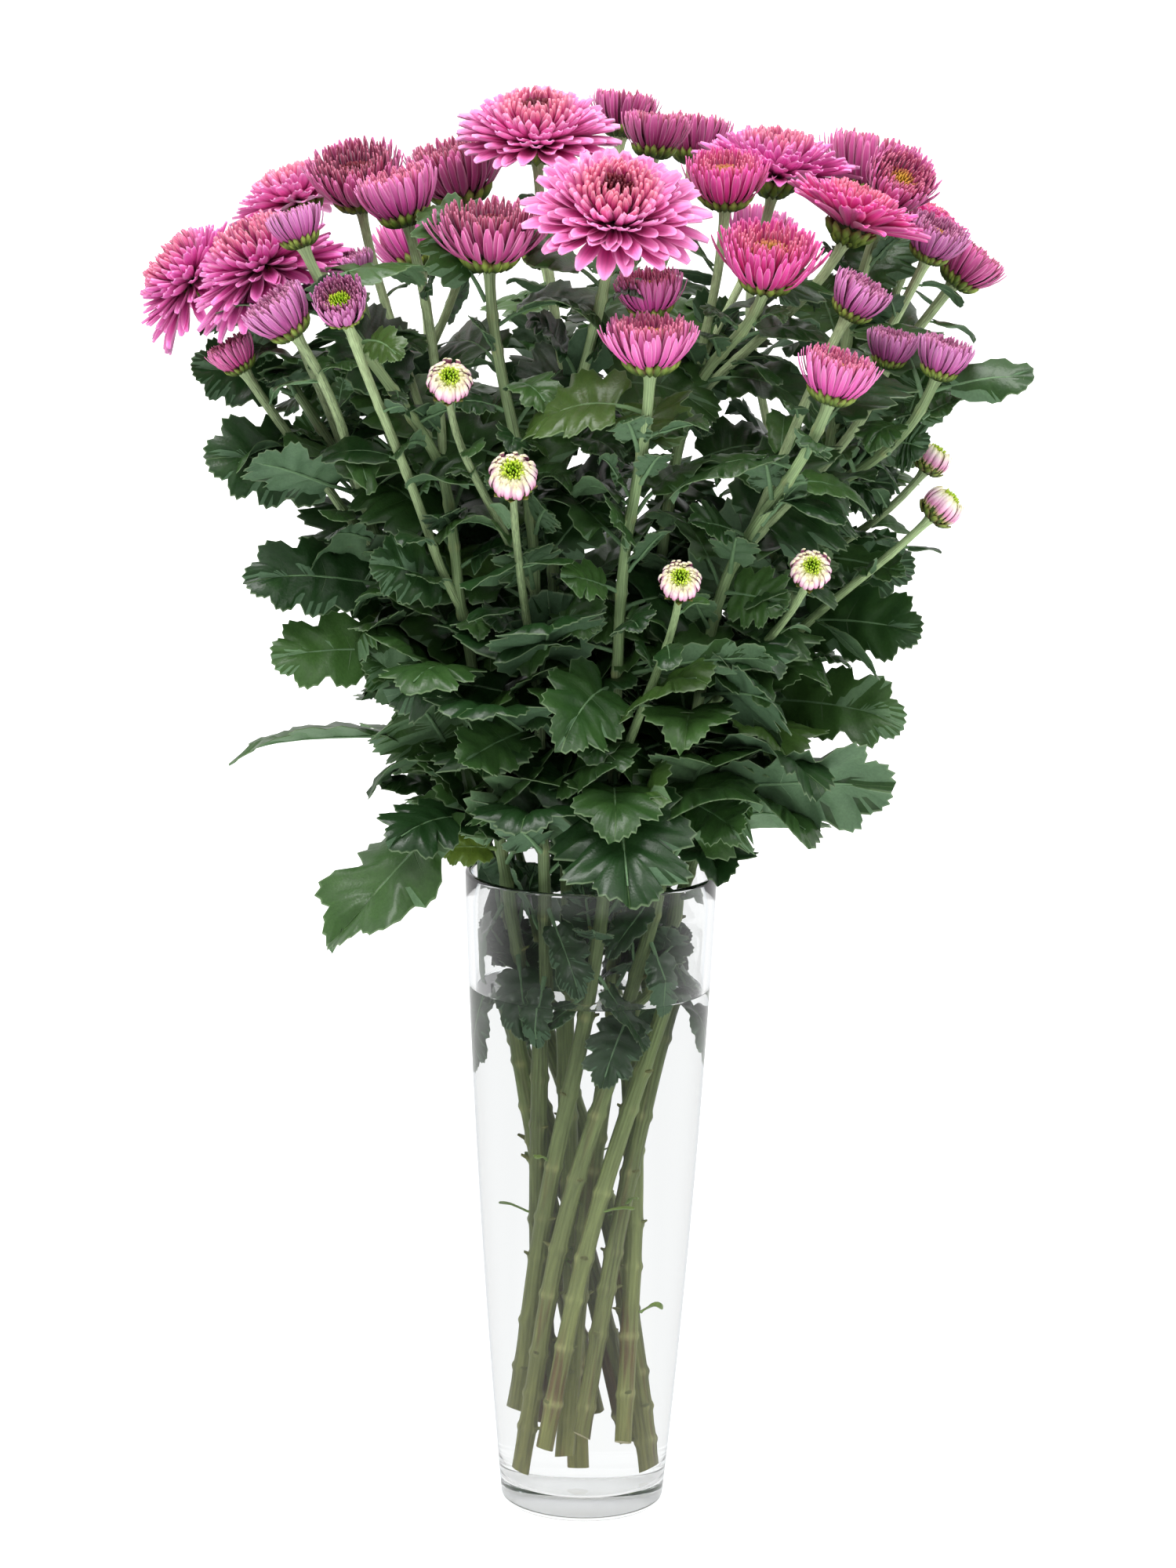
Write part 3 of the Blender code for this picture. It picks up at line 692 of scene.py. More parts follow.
def stem_stations(points, root, top, nodes, swelling, collar, foot):
    """Places for a stem's outline: every few millimetres, closer at its leaf nodes, which are swollen."""
    lengths = route_length(points)
    total = lengths[-1]
    at = set(np.linspace(0, total, max(4, int(total / (6 * MM)))))
    at |= {n + d * MM for n in nodes for d in (-2.2, -0.8, 0, 0.8, 2.2) if 0 < n + d * MM < total}
    at |= {total - d * MM for d in (1.2, 2.4, 4)}
    at = sorted(at)
    picks = [d for d, after in zip(at, at[1:] + [total + MM]) if after - d > 0.3 * MM]
    places, shares = [], []
    rim = rim_height()
    side = None
    for distance in picks:
        middle, way = on_route(points, min(max(distance, 0), total))
        side = way.cross(Vector((0.3, 0.9, 0.1))).normalized() if side is None else side
        side = (side - way * side.dot(way)).normalized()
        radius = root + (top - root) * distance / total
        swell = sum(math.exp(-((distance - n) / (1.7 * MM))**2) for n in nodes)
        radius *= 1 + swelling * min(1, swell)
        radius *= 1 + foot * (1 - min(1, max(0, (middle.z - rim + 20 * MM) / (40 * MM))))
        radius *= 1 + collar * math.exp(-(total - distance) / (2.2 * MM))
        places.append(station(middle, side, way.cross(side), way, radius, radius))
        shares.append(distance / total)
    return places, shares


def node_distances(points, spacing, draw, low=0.0, high=None):
    """Where along a route its leaf nodes are."""
    total = route_length(points)[-1]
    nodes, at = [], spacing * draw.uniform(0.4, 0.9)
    while at < total - 8 * MM:
        height = on_route(points, at)[0].z
        if height > low and (high is None or height < high):
            nodes.append(at)
        at += spacing * draw.uniform(0.55, 1.6)
    return nodes


def leaf_scar(draw):
    """What is left of a leaf on its node: a short, pinched stub."""
    shape = new_shape()
    long = draw.uniform(1.2, 3.6) * MM
    up, side, way = Vector((0, 0, 1)), Vector((1, 0, 0)), Vector((0, 1, 0))
    sizes = ((0, 1.9, 1.3), (0.45, 1.3, 0.8), (1, 0.8, 0.45))
    loft(shape, circle(7), [station(way * long * s + up * long * 0.5 * s, side, up, way, a * MM, b * MM)
                            for s, a, b in sizes])
    return kept(shape)


def make_stem(number, strands, settings, materials, draw, scars):
    """One stem with its side shoots: ribbed, swollen at its nodes, cut aslant, with stubs under water."""
    shape = new_shape()
    growth = shape.verts.layers.float_vector["growth"]
    surface = shape.verts.layers.float_vector["surface"]
    rim, tall = rim_height(), stem_top()
    tint = draw.random()
    count = number
    for order, (points, root, top, _) in enumerate(strands):
        main = order == 0
        nodes = node_distances(points, settings.node_spacing * (1.0 if main else 1.6), draw)
        swelling = settings.node_swelling * (1.0 if main else 0.5)
        places, shares = stem_stations(points, root, top, nodes, swelling, 0.55, settings.foot_girth)
        if main:  # the cut runs aslant
            shear = Matrix.Identity(4)
            shear[2][0] = draw.uniform(-0.5, 0.5)
            shear[2][1] = draw.uniform(-0.3, 0.3)
            low = Matrix.Translation(places[0].translation)
            places[0] = low @ shear @ low.inverted() @ places[0]
        old = set(shape.verts)
        faces = loft(shape, circle(settings.ridges * 2 if main else 10, settings.ridge_depth), places, shares)
        for vertex in shape.verts:
            if vertex not in old:
                age = (vertex.co.z / rim * 0.55 if vertex.co.z < rim
                       else 0.55 + 0.45 * min(1, (vertex.co.z - rim) / (tall - rim)))
                at = vertex[surface].z * route_length(points)[-1]
                close = max((math.exp(-((at - n) / (1.6 * MM))**2) for n in nodes), default=0)
                vertex[growth] = (min(1, age + (0 if main else 0.12)), tint, close if main else 0)
        if main:
            lowest = min(faces, key=lambda f: f.calc_center_median().z)
            lowest.material_index = 1
        for distance in nodes:
            middle, way = on_route(points, distance)
            outward = outward_at(way, GOLDEN_ANGLE * count + tint * 6)
            radius = root + (top - root) * distance / route_length(points)[-1]
            count += 1
            if main and middle.z < rim - 12 * MM:
                frame_at = Matrix((way.cross(outward), outward, way)).transposed().to_4x4()
                place = Matrix.Translation(middle + outward * radius * 0.75) @ frame_at
                scar = scars[count % len(scars)]
                plant(shape, scar, place, (0.15, draw.random(), 0))
    name = f"chrysanthemum_stem_{number:02d}"
    add_piece(name, shape, materials, [f"stem_{number:02d}"], sharp=60)


# ---------------------------------------------------------------- flower heads

# floret outlines as (across, depth): the channel is on the upper side
CHANNEL = ((-1, 0.9), (-0.5, -0.1), (0.5, -0.1), (1, 0.9), (0.45, 0.28), (-0.45, 0.28))
STRAP = ((-1, 0.3), (-0.45, -0.5), (0.45, -0.5), (1, 0.3), (0, 0.35))
QUILL = ((-1, 0), (0, -0.8), (1, 0), (0, 0.8))
SCALE = ((-1, 0.35), (0, -0.75), (1, 0.35), (0, 0.75))
# floret forms: outline, stations along it, width at the foot, widest place and width at the tip
SPOON = (CHANNEL, (0, 0.2, 0.42, 0.64, 0.82, 0.94, 1), 0.45, 0.7, 0.36)
RIBBON = (STRAP, (0, 0.25, 0.5, 0.75, 0.91, 1), 0.62, 0.7, 0.28)
BEAD = (QUILL, (0, 0.6, 1), 0.8, 0.55, 0.45)
SCALE_FORM = (SCALE, (0, 0.35, 0.7, 1), 0.75, 0.45, 0.1)
FINGER = (QUILL, (0, 0.45, 0.75, 0.93, 1), 0.6, 0.58, 0.2)


def floret(form, length, width, depth, curl):
    """One floret along +Y with its channel up: a narrow foot, a wider blade and a rounded tip. It bends
    by the curl, towards its channel if that is more than nothing."""
    section, shares, foot, widest, tip = form
    shape = new_shape()
    places = []
    at = Vector()
    last = 0.0
    for share in shares:
        angle = curl * (share + last) / 2
        at = at + Vector((0, math.cos(angle), math.sin(angle))) * length * (share - last)
        angle = curl * share
        way = Vector((0, math.cos(angle), math.sin(angle)))
        up = Vector((0, -math.sin(angle), math.cos(angle)))
        if share < widest:
            rise = share / widest
            half = foot + (1 - foot) * (3 * rise**2 - 2 * rise**3)
        else:
            half = max(tip, math.sqrt(1 - ((share - widest) / (1 - widest))**2))
        places.append(station(at.copy(), Vector((1, 0, 0)), up, way, half * width / 2,
                              depth * (0.55 + 0.45 * half)))
        last = share
    loft(shape, section, places, shares)
    return shape


def along_table(table, share):
    """A value read from a few (share, value) points."""
    xs, ys = zip(*table)
    return float(np.interp(share, xs, ys))


# How the florets change from the outermost (0) to the innermost (1). The lift is each one's angle above
# the level at its foot, in degrees, and the curl is how far it bends up from there, in radians; lengths
# and widths are shares of the head's radius; feet are shares of its radius and height.
OPEN_FLORETS = {
    "lift": ((0, 7), (0.1, 7), (0.19, 9), (0.4, 16), (0.6, 24), (0.8, 34), (1, 52)),
    "curl": ((0, -0.28), (0.1, -0.02), (0.19, 0.2), (0.4, 0.52), (0.6, 0.9), (0.8, 1.1), (1, 0.9)),
    "length": ((0, 0.9), (0.1, 0.81), (0.19, 0.72), (0.4, 0.58), (0.6, 0.5), (0.8, 0.46), (1, 0.4)),
    "width": ((0, 0.215), (0.19, 0.2), (0.4, 0.16), (0.6, 0.118), (0.8, 0.09), (1, 0.07)),
    "foot_out": ((0, 0.17), (0.4, 0.155), (0.8, 0.13), (1, 0.08)),
    "foot_up": ((0, 0.3), (0.4, 0.4), (0.8, 0.5), (1, 0.54)),
}
CUP_FLORETS = {
    "lift": ((0, 33), (0.2, 37), (0.38, 40), (0.55, 41), (0.7, 44), (0.85, 48), (1, 56)),
    "curl": ((0, 0.95), (0.2, 0.9), (0.38, 0.9), (0.55, 0.95), (0.7, 0.95), (0.85, 0.8), (1, 0.6)),
    "length": ((0, 1.12), (0.2, 1.08), (0.38, 1.01), (0.55, 0.9), (0.7, 0.79), (0.85, 0.65), (1, 0.54)),
    "width": ((0, 0.145), (0.2, 0.138), (0.38, 0.125), (0.55, 0.11), (0.7, 0.095), (1, 0.075)),
    "foot_out": ((0, 0.4), (0.2, 0.38), (0.38, 0.35), (0.7, 0.28), (1, 0.2)),
    "foot_up": ((0, 0.12), (0.2, 0.18), (0.38, 0.25), (0.7, 0.36), (1, 0.43)),
}
BUD_FLORETS = {
    "lift": ((0, 58), (0.5, 69), (1, 80)),
    "length": ((0, 1.2), (0.5, 0.95), (1, 0.6)),
    "width": ((0, 0.23), (0.5, 0.19), (1, 0.14)),
    "curl": ((0, 1.2), (0.5, 1.5), (1, 1.4)),
    "foot_out": ((0, 0.8), (0.5, 0.7), (1, 0.5)),
    "foot_up": ((0, 0.22), (0.5, 0.4), (1, 0.6)),
}


def floret_set(table, bins, form, radius, broad):
    """The florets of one kind of head, from the outermost to the innermost, each in three shapes. The
    outer ones, up to the broad share of the way in, have the form, and the others are fingers."""
    made = []
    for n in range(bins):
        share = (n + 0.5) / bins
        width = along_table(table["width"], share) * radius
        length = along_table(table["length"], share) * radius
        curl = along_table(table["curl"], share)
        outer = share < broad
        made.append([kept(floret(form if outer else FINGER, length, width,
                                 width * (0.22 if outer else 0.42), curl + bend * (1.2 - share)))
                     for bend in (-0.14, 0.0, 0.14)])
    return made


def plant_florets(shape, head, table, sets, count, radius, draw, lift_more, ragged, reach):
    """Sets a head's ray florets in their spiral, each turned, lifted and sized a little by chance."""
    place_head = aim(head["axis"], head["base"])
    size = head["radius"] / radius
    start = draw.uniform(0, math.tau)
    for n in range(count):
        share = n / (count - 1)
        inward = 1 - share
        seedling = draw.choice(sets[min(len(sets) - 1, int(share * len(sets)))])
        lift = along_table(table["lift"], share) + lift_more * inward + draw.gauss(0, 3) * ragged
        foot = Vector((0, along_table(table["foot_out"], share) * head["radius"],
                       along_table(table["foot_up"], share) * head["height"]))
        long = size * reach * draw.uniform(0.93, 1.05)
        grow = Matrix.Diagonal((size * draw.uniform(0.92, 1.08), long, long, 1))
        place = (place_head @ Matrix.Rotation(start + n * GOLDEN_ANGLE + draw.gauss(0, 0.03), 4, "Z")
                 @ Matrix.Translation(foot) @ Matrix.Rotation(math.radians(lift), 4, "X")
                 @ Matrix.Rotation(draw.gauss(0, 0.12) * ragged, 4, "Y")
                 @ Matrix.Rotation(draw.gauss(0, 0.05) * ragged, 4, "Z") @ grow)
        plant(shape, seedling, place, (share, draw.random(), 0))


def plant_disc(shape, head, seedling, draw, count, reach, level, crown, fit):
    """Sets the disc's closed florets in their spiral on a low dome: how many, how far out and how high on
    the head, how domed in mm, and the radius in mm of a head that they fit as they are."""
    place_head = aim(head["axis"], head["base"])
    for n in range(count):
        share = math.sqrt((n + 0.5) / count)
        foot = Vector((0, reach * share * head["radius"], level * head["height"] - crown * share**2 * MM))
        size = head["radius"] / (fit * MM)
        place = (place_head @ Matrix.Rotation(n * GOLDEN_ANGLE, 4, "Z") @ Matrix.Translation(foot)
                 @ Matrix.Rotation(math.radians(88 - 12 * share + draw.gauss(0, 4)), 4, "X")
                 @ Matrix.Scale(size * draw.uniform(0.85, 1.1), 4))
        plant(shape, seedling, place, (1 - share, draw.random(), 1))


def plant_calyx(shape, head, rows, seedling, draw):
    """Sets the scales of the calyx in rows that overlap like tiles. Each row has its count, how far out
    and how high its feet are, its lift in degrees, and the length and width of its scales."""
    place_head = aim(head["axis"], head["base"])
    for count, out, up, lift, long, wide in rows:
        for n in range(count):
            around = math.tau * (n + draw.uniform(-0.12, 0.12)) / count + out * 9
            grow = Matrix.Diagonal((wide * head["radius"], long * head["radius"] * draw.uniform(0.9, 1.1),
                                    head["radius"] * 0.5, 1))
            place = (place_head @ Matrix.Rotation(around, 4, "Z")
                     @ Matrix.Translation((0, out * head["radius"], up * head["height"]))
                     @ Matrix.Rotation(math.radians(lift + draw.gauss(0, 2.5)), 4, "X") @ grow)
            plant(shape, seedling, place, (0.5, draw.random(), 2))


def plant_bowl(shape, head, profile):
    """Adds the bowl that the florets stand in, turned on the head's axis."""
    bowl = turned([(r * head["radius"], h * head["height"]) for r, h in profile], 14)
    plant(shape, kept(bowl, CALYX), aim(head["axis"], head["base"]), (0.3, 0.5, 2))


OPEN_BOWL = ((0, -0.01), (0.09, 0), (0.2, 0.1), (0.26, 0.22), (0.24, 0.36), (0.16, 0.46), (0, 0.5))
CUP_BOWL = ((0, -0.01), (0.13, 0), (0.34, 0.1), (0.44, 0.2), (0.4, 0.3), (0.26, 0.44), (0, 0.5))
BUD_BOWL = ((0, -0.01), (0.22, 0), (0.62, 0.12), (0.82, 0.32), (0.84, 0.5), (0.66, 0.7), (0.3, 0.76),
            (0, 0.76))
# The three kinds of head: the name and slot of their pieces, the bowl's profile, what floret_set takes, the
# setting that counts the ray florets, how ragged these are, and what plant_disc and plant_calyx take
HEAD_KINDS = {
    "open_flower": {
        "piece": "open_chrysanthemum", "slot": "open_petals", "bowl": OPEN_BOWL,
        "florets": (OPEN_FLORETS, 10, SPOON, 31 * MM, 0.55), "count": "open_florets", "ragged": 1.0,
        "disc": (64, 0.2, 0.78, 1.6, 30),
        "calyx": ((8, 0.09, 0.02, 4, 0.2, 0.16), (10, 0.13, 0.07, 8, 0.22, 0.17),
                  (12, 0.17, 0.13, 8, 0.26, 0.17))},
    "half_open_flower": {
        "piece": "half_open_chrysanthemum", "slot": "half_open_petals", "bowl": CUP_BOWL,
        "florets": (CUP_FLORETS, 8, RIBBON, 18 * MM, 0.5), "count": "cup_florets", "ragged": 0.8,
        "disc": (90, 0.4, 0.62, 1.5, 20),
        "calyx": ((10, 0.13, 0.0, 8, 0.28, 0.24), (13, 0.24, 0.01, 17, 0.34, 0.23),
                  (16, 0.34, 0.03, 27, 0.4, 0.2))},
    "bud": {
        "piece": "chrysanthemum_bud", "slot": "bud_scales", "bowl": BUD_BOWL,
        "florets": (BUD_FLORETS, 6, RIBBON, 8 * MM, 0.5), "count": "bud_florets", "ragged": 0.3,
        "disc": (34, 0.36, 0.84, 0.3, 11),
        "calyx": ((7, 0.2, 0.0, 6, 0.5, 0.4), (9, 0.5, 0.0, 28, 0.6, 0.34),
                  (9, 0.7, 0.1, 60, 0.42, 0.26))},
}
DISC, CALYX = 1, 2  # the places of their skins in a head's materials: the ray florets' comes first


def grow_head(head, kind, florets, count, lift_more, reach, bead, scale_leaf, draw):
    """One flower head: its bowl, its ray florets, its disc and its calyx."""
    shape = new_shape()
    plant_bowl(shape, head, kind["bowl"])
    table, radius = kind["florets"][0], kind["florets"][3]
    plant_florets(shape, head, table, florets, count, radius, draw, lift_more, kind["ragged"], reach)
    plant_disc(shape, head, bead, draw, *kind["disc"])
    plant_calyx(shape, head, kind["calyx"], scale_leaf, draw)
    return shape


# ---------------------------------------------------------------- leaves

RIB_SHARE = 0.6  # the side lobes spring from this much of the midrib; the last one fans from its end
# Leaf outlines, walked from the stalk to the tip: the notches as (share, depth), how far the blade reaches
# from the midrib as (share, half widths), and the size of the teeth
LEAF_STYLES = {
    "broad": {"notches": ((0.22, 0.3), (0.48, 0.4), (0.74, 0.34)), "teeth": 0.04,
              "reach": ((0, 0.5), (0.1, 0.8), (0.33, 1.04), (0.6, 1.08), (0.82, 0.95), (1, 0.9))},
    "long": {"notches": ((0.16, 0.34), (0.36, 0.42), (0.56, 0.4), (0.78, 0.3)), "teeth": 0.035,
             "reach": ((0, 0.32), (0.1, 0.62), (0.26, 0.92), (0.46, 1.04), (0.68, 1.0), (0.85, 0.9),
                       (1, 0.95))},
    "small": {"notches": ((0.3, 0.2), (0.62, 0.24)), "teeth": 0.03,
              "reach": ((0, 0.3), (0.2, 0.68), (0.45, 0.98), (0.7, 1.02), (0.88, 0.98), (1, 0.98))},
    "tongue": {"notches": (), "teeth": 0.0,
               "reach": ((0, 0.2), (0.3, 0.6), (0.6, 0.98), (0.8, 1.0), (0.92, 0.96), (1, 0.96))},
}
RAY_TURN = ((0, 112), (0.2, 84), (0.45, 64), (0.72, 48), (1, 0))  # degrees from the midrib's direction


def leaf_blade(style_name, slim, rows=32, columns=6):
    """A flat blade to grow leaves from: its mesh and, for each of its points, how far it lies to the side
    in half widths, where on the midrib it springs from, how far forward of that it lies, its share of the
    way across and how far it is from its lobe's vein. Slim stretches the tip."""
    style = LEAF_STYLES[style_name]
    notches = ((0, 0), *style["notches"], (1.26, 0))
    shape = new_shape()
    bmesh.ops.create_grid(shape, x_segments=columns, y_segments=rows, size=0.5)
    surface = shape.verts.layers.float_vector["surface"]
    plan = shape.verts.layers.float_vector.new("plan")
    for vertex in shape.verts:
        across, share = vertex.co.x * 2, vertex.co.y + 0.5
        number = round(share * rows)
        near = next(n for n in range(1, len(notches)) if share <= notches[n][0])
        (before, first), (after, last) = notches[near - 1:near + 1]
        off = 2 * (share - before) / (after - before) - 1  # 0 on the lobe's vein, and 1 in its notch
        reach = along_table(style["reach"], share) * (1 - (first if off < 0 else last) * abs(off)**3)
        reach *= 1 + (slim - 1) * max(0.0, share - 0.9) / 0.1
        if 0 < number < rows:
            reach *= 1 + style["teeth"] * (1 if number % 2 else -1)
        turn_at = math.radians(along_table(RAY_TURN, share))
        rib = RIB_SHARE * min(1, share / 0.74)
        forward = abs(across) * reach * math.cos(turn_at)
        vertex[plan] = (across * reach * math.sin(turn_at), rib, forward)
        vertex[surface] = (across, abs(off) * (after - before) * 5, share)
        vertex.co = (vertex[plan].x, rib + forward * 0.4, 0)
    bmesh.ops.remove_doubles(shape, verts=shape.verts, dist=1e-4)
    points = np.array([(*v[plan], *v[surface][:2]) for v in shape.verts])
    shape.verts.layers.float_vector.remove(plan)
    return kept(shape), points


def grow_leaf(shape, blade, leaf, draw, thickness, age=0.0):
    """Grows one leaf: its blade laid along its drooping midrib, folded, waved and quilted between its
    veins, with the stalk and the midrib as one tapering rib beneath it."""
    mesh, points = blade
    x, rib, forward, across, near = points.T
    start, way, length, half = leaf["start"], leaf["way"], leaf["length"], leaf["width"] / 2
    stalk = leaf.get("stalk", 0.22)
    side = np.array(way.cross(leaf["facing"]).normalized())
    free = leaf.get("free", 1.0)  # how freely the leaf twists
    fold, tip_curl, twist = draw.uniform(0.0, 0.3), draw.uniform(0.0, 0.3), draw.uniform(-0.4, 0.4) * free
    wave, waves, phase = draw.uniform(0.02, 0.09) * length, draw.uniform(4, 7), draw.uniform(0, math.tau)
    # leaves inside the vase take only the darker greens: painted shade in the neck of the vase
    tint = draw.random() * (0.3 if "within" in leaf else 1)

    def pressed(places):
        """Places drawn in from the glass, where the leaf stands inside it."""
        if "within" in leaf:
            room = np.array([leaf["within"](z) for z in places[:, 2]]) - 1.5 * MM
            places[:, :2] *= np.minimum(1, room / np.linalg.norm(places[:, :2], axis=1))[:, None]
        return places

    def rib_at(shares):
        """The midrib's places and its three directions at shares of the leaf's length."""
        share = np.asarray(shares)[:, None]
        late = np.maximum(0, share - 0.55)
        drop = leaf["droop"] * share**2 + tip_curl * length * late**2
        point = pressed(np.array(start) + np.array(way) * length * share - np.array((0, 0, 1)) * drop)
        fall = 2 * leaf["droop"] * share + 2 * tip_curl * length * late
        slope = np.array(way) * length - np.array((0, 0, 1)) * fall
        slope /= np.linalg.norm(slope, axis=1)[:, None]
        level = side - slope * (slope @ side)[:, None]
        level /= np.linalg.norm(level, axis=1)[:, None]
        level = level * np.cos(twist * share) + np.cross(slope, level) * np.sin(twist * share)
        return point, level, np.cross(level, slope), slope

    along = rib + forward * half / (length * (1 - stalk))
    along /= along.max()
    point, level, up, _ = rib_at(stalk + (1 - stalk) * along)
    out = abs(across)
    lift = fold * (abs(x) - 0.3 * out**2) * half
    lift += wave * out**2 * np.sin(waves * along + phase + np.where(across > 0, 1.3, 0))
    lift += 0.045 * half * (1 - np.cos(np.minimum(1, near * 0.8) * math.pi)) * (1 - (2 * out - 1)**2)
    lift -= tip_curl * 0.25 * half * out**3
    places = pressed(point + level * (x * half)[:, None] + up * lift[:, None])
    sheet = two_sided(mesh, places, Vector(up[len(up) // 2]), thickness)
    growth = sheet.verts.layers.float_vector["growth"]
    for vertex in sheet.verts:
        vertex[growth] = (age, tint, 0)
    for vertex in add_rib(sheet, rib_at, stalk, leaf.get("stalk_radius", 1.0 * MM)):
        vertex[growth] = (age, 1.0, 0)
    whole = bpy.data.meshes.new("seedling")
    sheet.to_mesh(whole)
    sheet.free()
    shape.from_mesh(whole)
    bpy.data.meshes.remove(whole)


def two_sided(mesh, places, up, thickness):
    """The blade with its points at their places, thickened, and its lower side in the second skin."""
    sheet = bmesh.new()
    sheet.from_mesh(mesh)
    for vertex, place in zip(sheet.verts, places):
        vertex.co = place
    made = bmesh.ops.solidify(sheet, geom=sheet.faces[:], thickness=thickness)["geom"]
    made = {item for item in made if isinstance(item, bmesh.types.BMFace)}
    turned_up = sum(face.normal.dot(up) for face in made) > 0
    for face in sheet.faces:
        face.material_index = int((face in made) != turned_up)
    return sheet


def add_rib(sheet, rib_at, stalk, radius):
    """Adds the stalk and the midrib as one tapering rib, sunk into the blade; gives its points back."""
    first = len(sheet.verts)
    shares = np.linspace(0, stalk + (1 - stalk) * 0.85, 8)
    places = []
    for share, *vectors in zip(shares, *rib_at(shares)):
        at, level, up, slope = map(Vector, vectors)
        thick = radius * (1 - 0.8 * share)
        sink = 0.0 if share < stalk else thick * 0.55
        places.append(station(at - up * sink, level, up, slope, thick, thick * 0.85))
    for face in loft(sheet, circle(6), places):
        face.material_index = 1
    surface = sheet.verts.layers.float_vector["surface"]
    fresh = sheet.verts[first:]
    for vertex in fresh:
        vertex[surface] = (0.2, 9, 0)
    return fresh


# A few leaves that stand out. Each has its stem, the height of its joint in mm, its bearing
# and its climb in degrees, its length and width in mm, its outline and the side it shows
STANDOUT_LEAVES = (
    (2, 400, 195, 20, 60, 35, "broad", "upper"),
    (1, 360, 215, 30, 45, 25, "broad", "upper"),
    (2, 310, 215, 45, 50, 25, "broad", "upper"),
    (5, 330, 265, 45, 55, 45, "broad", "upper"),
    (5, 300, 265, 50, 45, 25, "broad", "upper"),
    (4, 315, 235, 0, 50, 25, "broad", "upper"),
    (4, 265, 250, 35, 40, 20, "broad", "under"),
    (6, 330, 330, 20, 75, 15, "long", "under"),
    (9, 325, 300, 15, 60, 40, "broad", "under"),
    (9, 365, 320, 5, 50, 25, "broad", "upper"),
    (9, 285, 300, 0, 45, 25, "broad", "upper"),
    (10, 375, 325, 5, 50, 15, "long", "upper"),
    (11, 420, 340, 0, 50, 25, "broad", "upper"),
    (3, 265, 190, 25, 35, 20, "broad", "young"),
    (1, 262, 215, 15, 30, 15, "broad", "young"),
    (11, 440, 345, 20, 40, 20, "small", "upper"),
    (11, 400, 350, 10, 55, 30, "broad", "upper"),
    (11, 360, 345, 15, 60, 30, "broad", "upper"),
    (10, 350, 330, 10, 60, 30, "broad", "upper"),
    (10, 320, 340, 5, 60, 30, "broad", "upper"),
    (2, 430, 190, 25, 45, 25, "broad", "upper"),
    (2, 360, 200, 15, 60, 30, "broad", "upper"),
    (2, 335, 205, 10, 60, 30, "broad", "upper"),
    (3, 400, 185, 20, 50, 25, "broad", "upper"),
    (3, 350, 190, 15, 60, 30, "broad", "upper"),
)
CROWN = ((0.24, 0.09), (0.30, 0.1), (0.35, 0.105), (0.38, 0.125), (0.43, 0.135))  # (height, reach) of leaves


# ---------------------------------------------------------------- settings


class GlassSettings(bpy.types.PropertyGroup):
    """The vase and the water."""

    steps: bpy.props.IntProperty(
        name="Smoothness", description="Faces round the vase", default=112, min=24, max=256)
    edge_tint: bpy.props.FloatVectorProperty(
        name="Edge Tint", description="Colour of the glass where it is seen edge on",
        default=linear("#C2D8EC"), size=4, subtype="COLOR", min=0, max=1)


class StemSettings(bpy.types.PropertyGroup):
    """The stems and their side shoots."""

    ridges: bpy.props.IntProperty(
        name="Ridges", description="Ridges along a main stem", default=7, min=3, max=12)
    ridge_depth: bpy.props.FloatProperty(
        name="Ridge Depth", description="Depth of the ridges as a share of the stem", default=0.07,
        subtype="FACTOR", min=0, max=0.3)
    node_spacing: bpy.props.FloatProperty(
        name="Node Spacing", description="Distance from one leaf node to the next", default=22 * MM,
        unit="LENGTH", min=0.005)
    foot_girth: bpy.props.FloatProperty(
        name="Foot Girth", description="How much thicker a stem is inside the vase", default=0.15,
        subtype="FACTOR", min=0, max=0.3)
    node_swelling: bpy.props.FloatProperty(
        name="Node Swelling", description="How much thicker a stem is at a node", default=0.2,
        subtype="FACTOR", min=0, max=1)


class FlowerSettings(bpy.types.PropertyGroup):
    """The flower heads."""

    open_florets: bpy.props.IntProperty(
        name="Open Florets", description="Ray florets in an open flower", default=255, min=21)
    cup_florets: bpy.props.IntProperty(
        name="Cup Florets", description="Ray florets in a half-open flower", default=210, min=21)
    bud_florets: bpy.props.IntProperty(
        name="Bud Florets", description="Florets that show in a bud", default=120, min=13)
    margin: bpy.props.FloatVectorProperty(
        name="Margin", description="Colour of the margins of the ray florets",
        default=linear("#FFC4E2"), size=4, subtype="COLOR", min=0, max=1)


class LeafSettings(bpy.types.PropertyGroup):
    """The leaves."""

    thickness: bpy.props.FloatProperty(
        name="Thickness", description="Thickness of a leaf", default=0.35 * MM, unit="LENGTH", min=0.0001)
    spacing: bpy.props.FloatProperty(
        name="Spacing", description="Distance from one leaf to the next up a stem", default=7.5 * MM,
        unit="LENGTH", min=0.004)
    shoot_spacing: bpy.props.FloatProperty(
        name="Shoot Spacing", description="Distance from one leaf to the next up a side shoot",
        default=17 * MM, unit="LENGTH", min=0.004)
    low_length: bpy.props.FloatProperty(
        name="Low Leaves", description="Length of a leaf near the rim of the vase", default=74 * MM,
        unit="LENGTH", min=0.005)
    high_length: bpy.props.FloatProperty(
        name="High Leaves", description="Length of a leaf near the flowers", default=48 * MM,
        unit="LENGTH", min=0.005)
    fork_length: bpy.props.FloatProperty(
        name="Fork Leaves", description="Length of a leaf where a side shoot starts", default=40 * MM,
        unit="LENGTH", min=0.005)
    deep: bpy.props.FloatVectorProperty(
        name="Deep Green", description="The darkest green of a leaf's upper side",
        default=linear("#1C3A18"), size=4, subtype="COLOR", min=0, max=1)
    fresh: bpy.props.FloatVectorProperty(
        name="Fresh Green", description="The lightest green of a leaf's upper side",
        default=linear("#43662F"), size=4, subtype="COLOR", min=0, max=1)


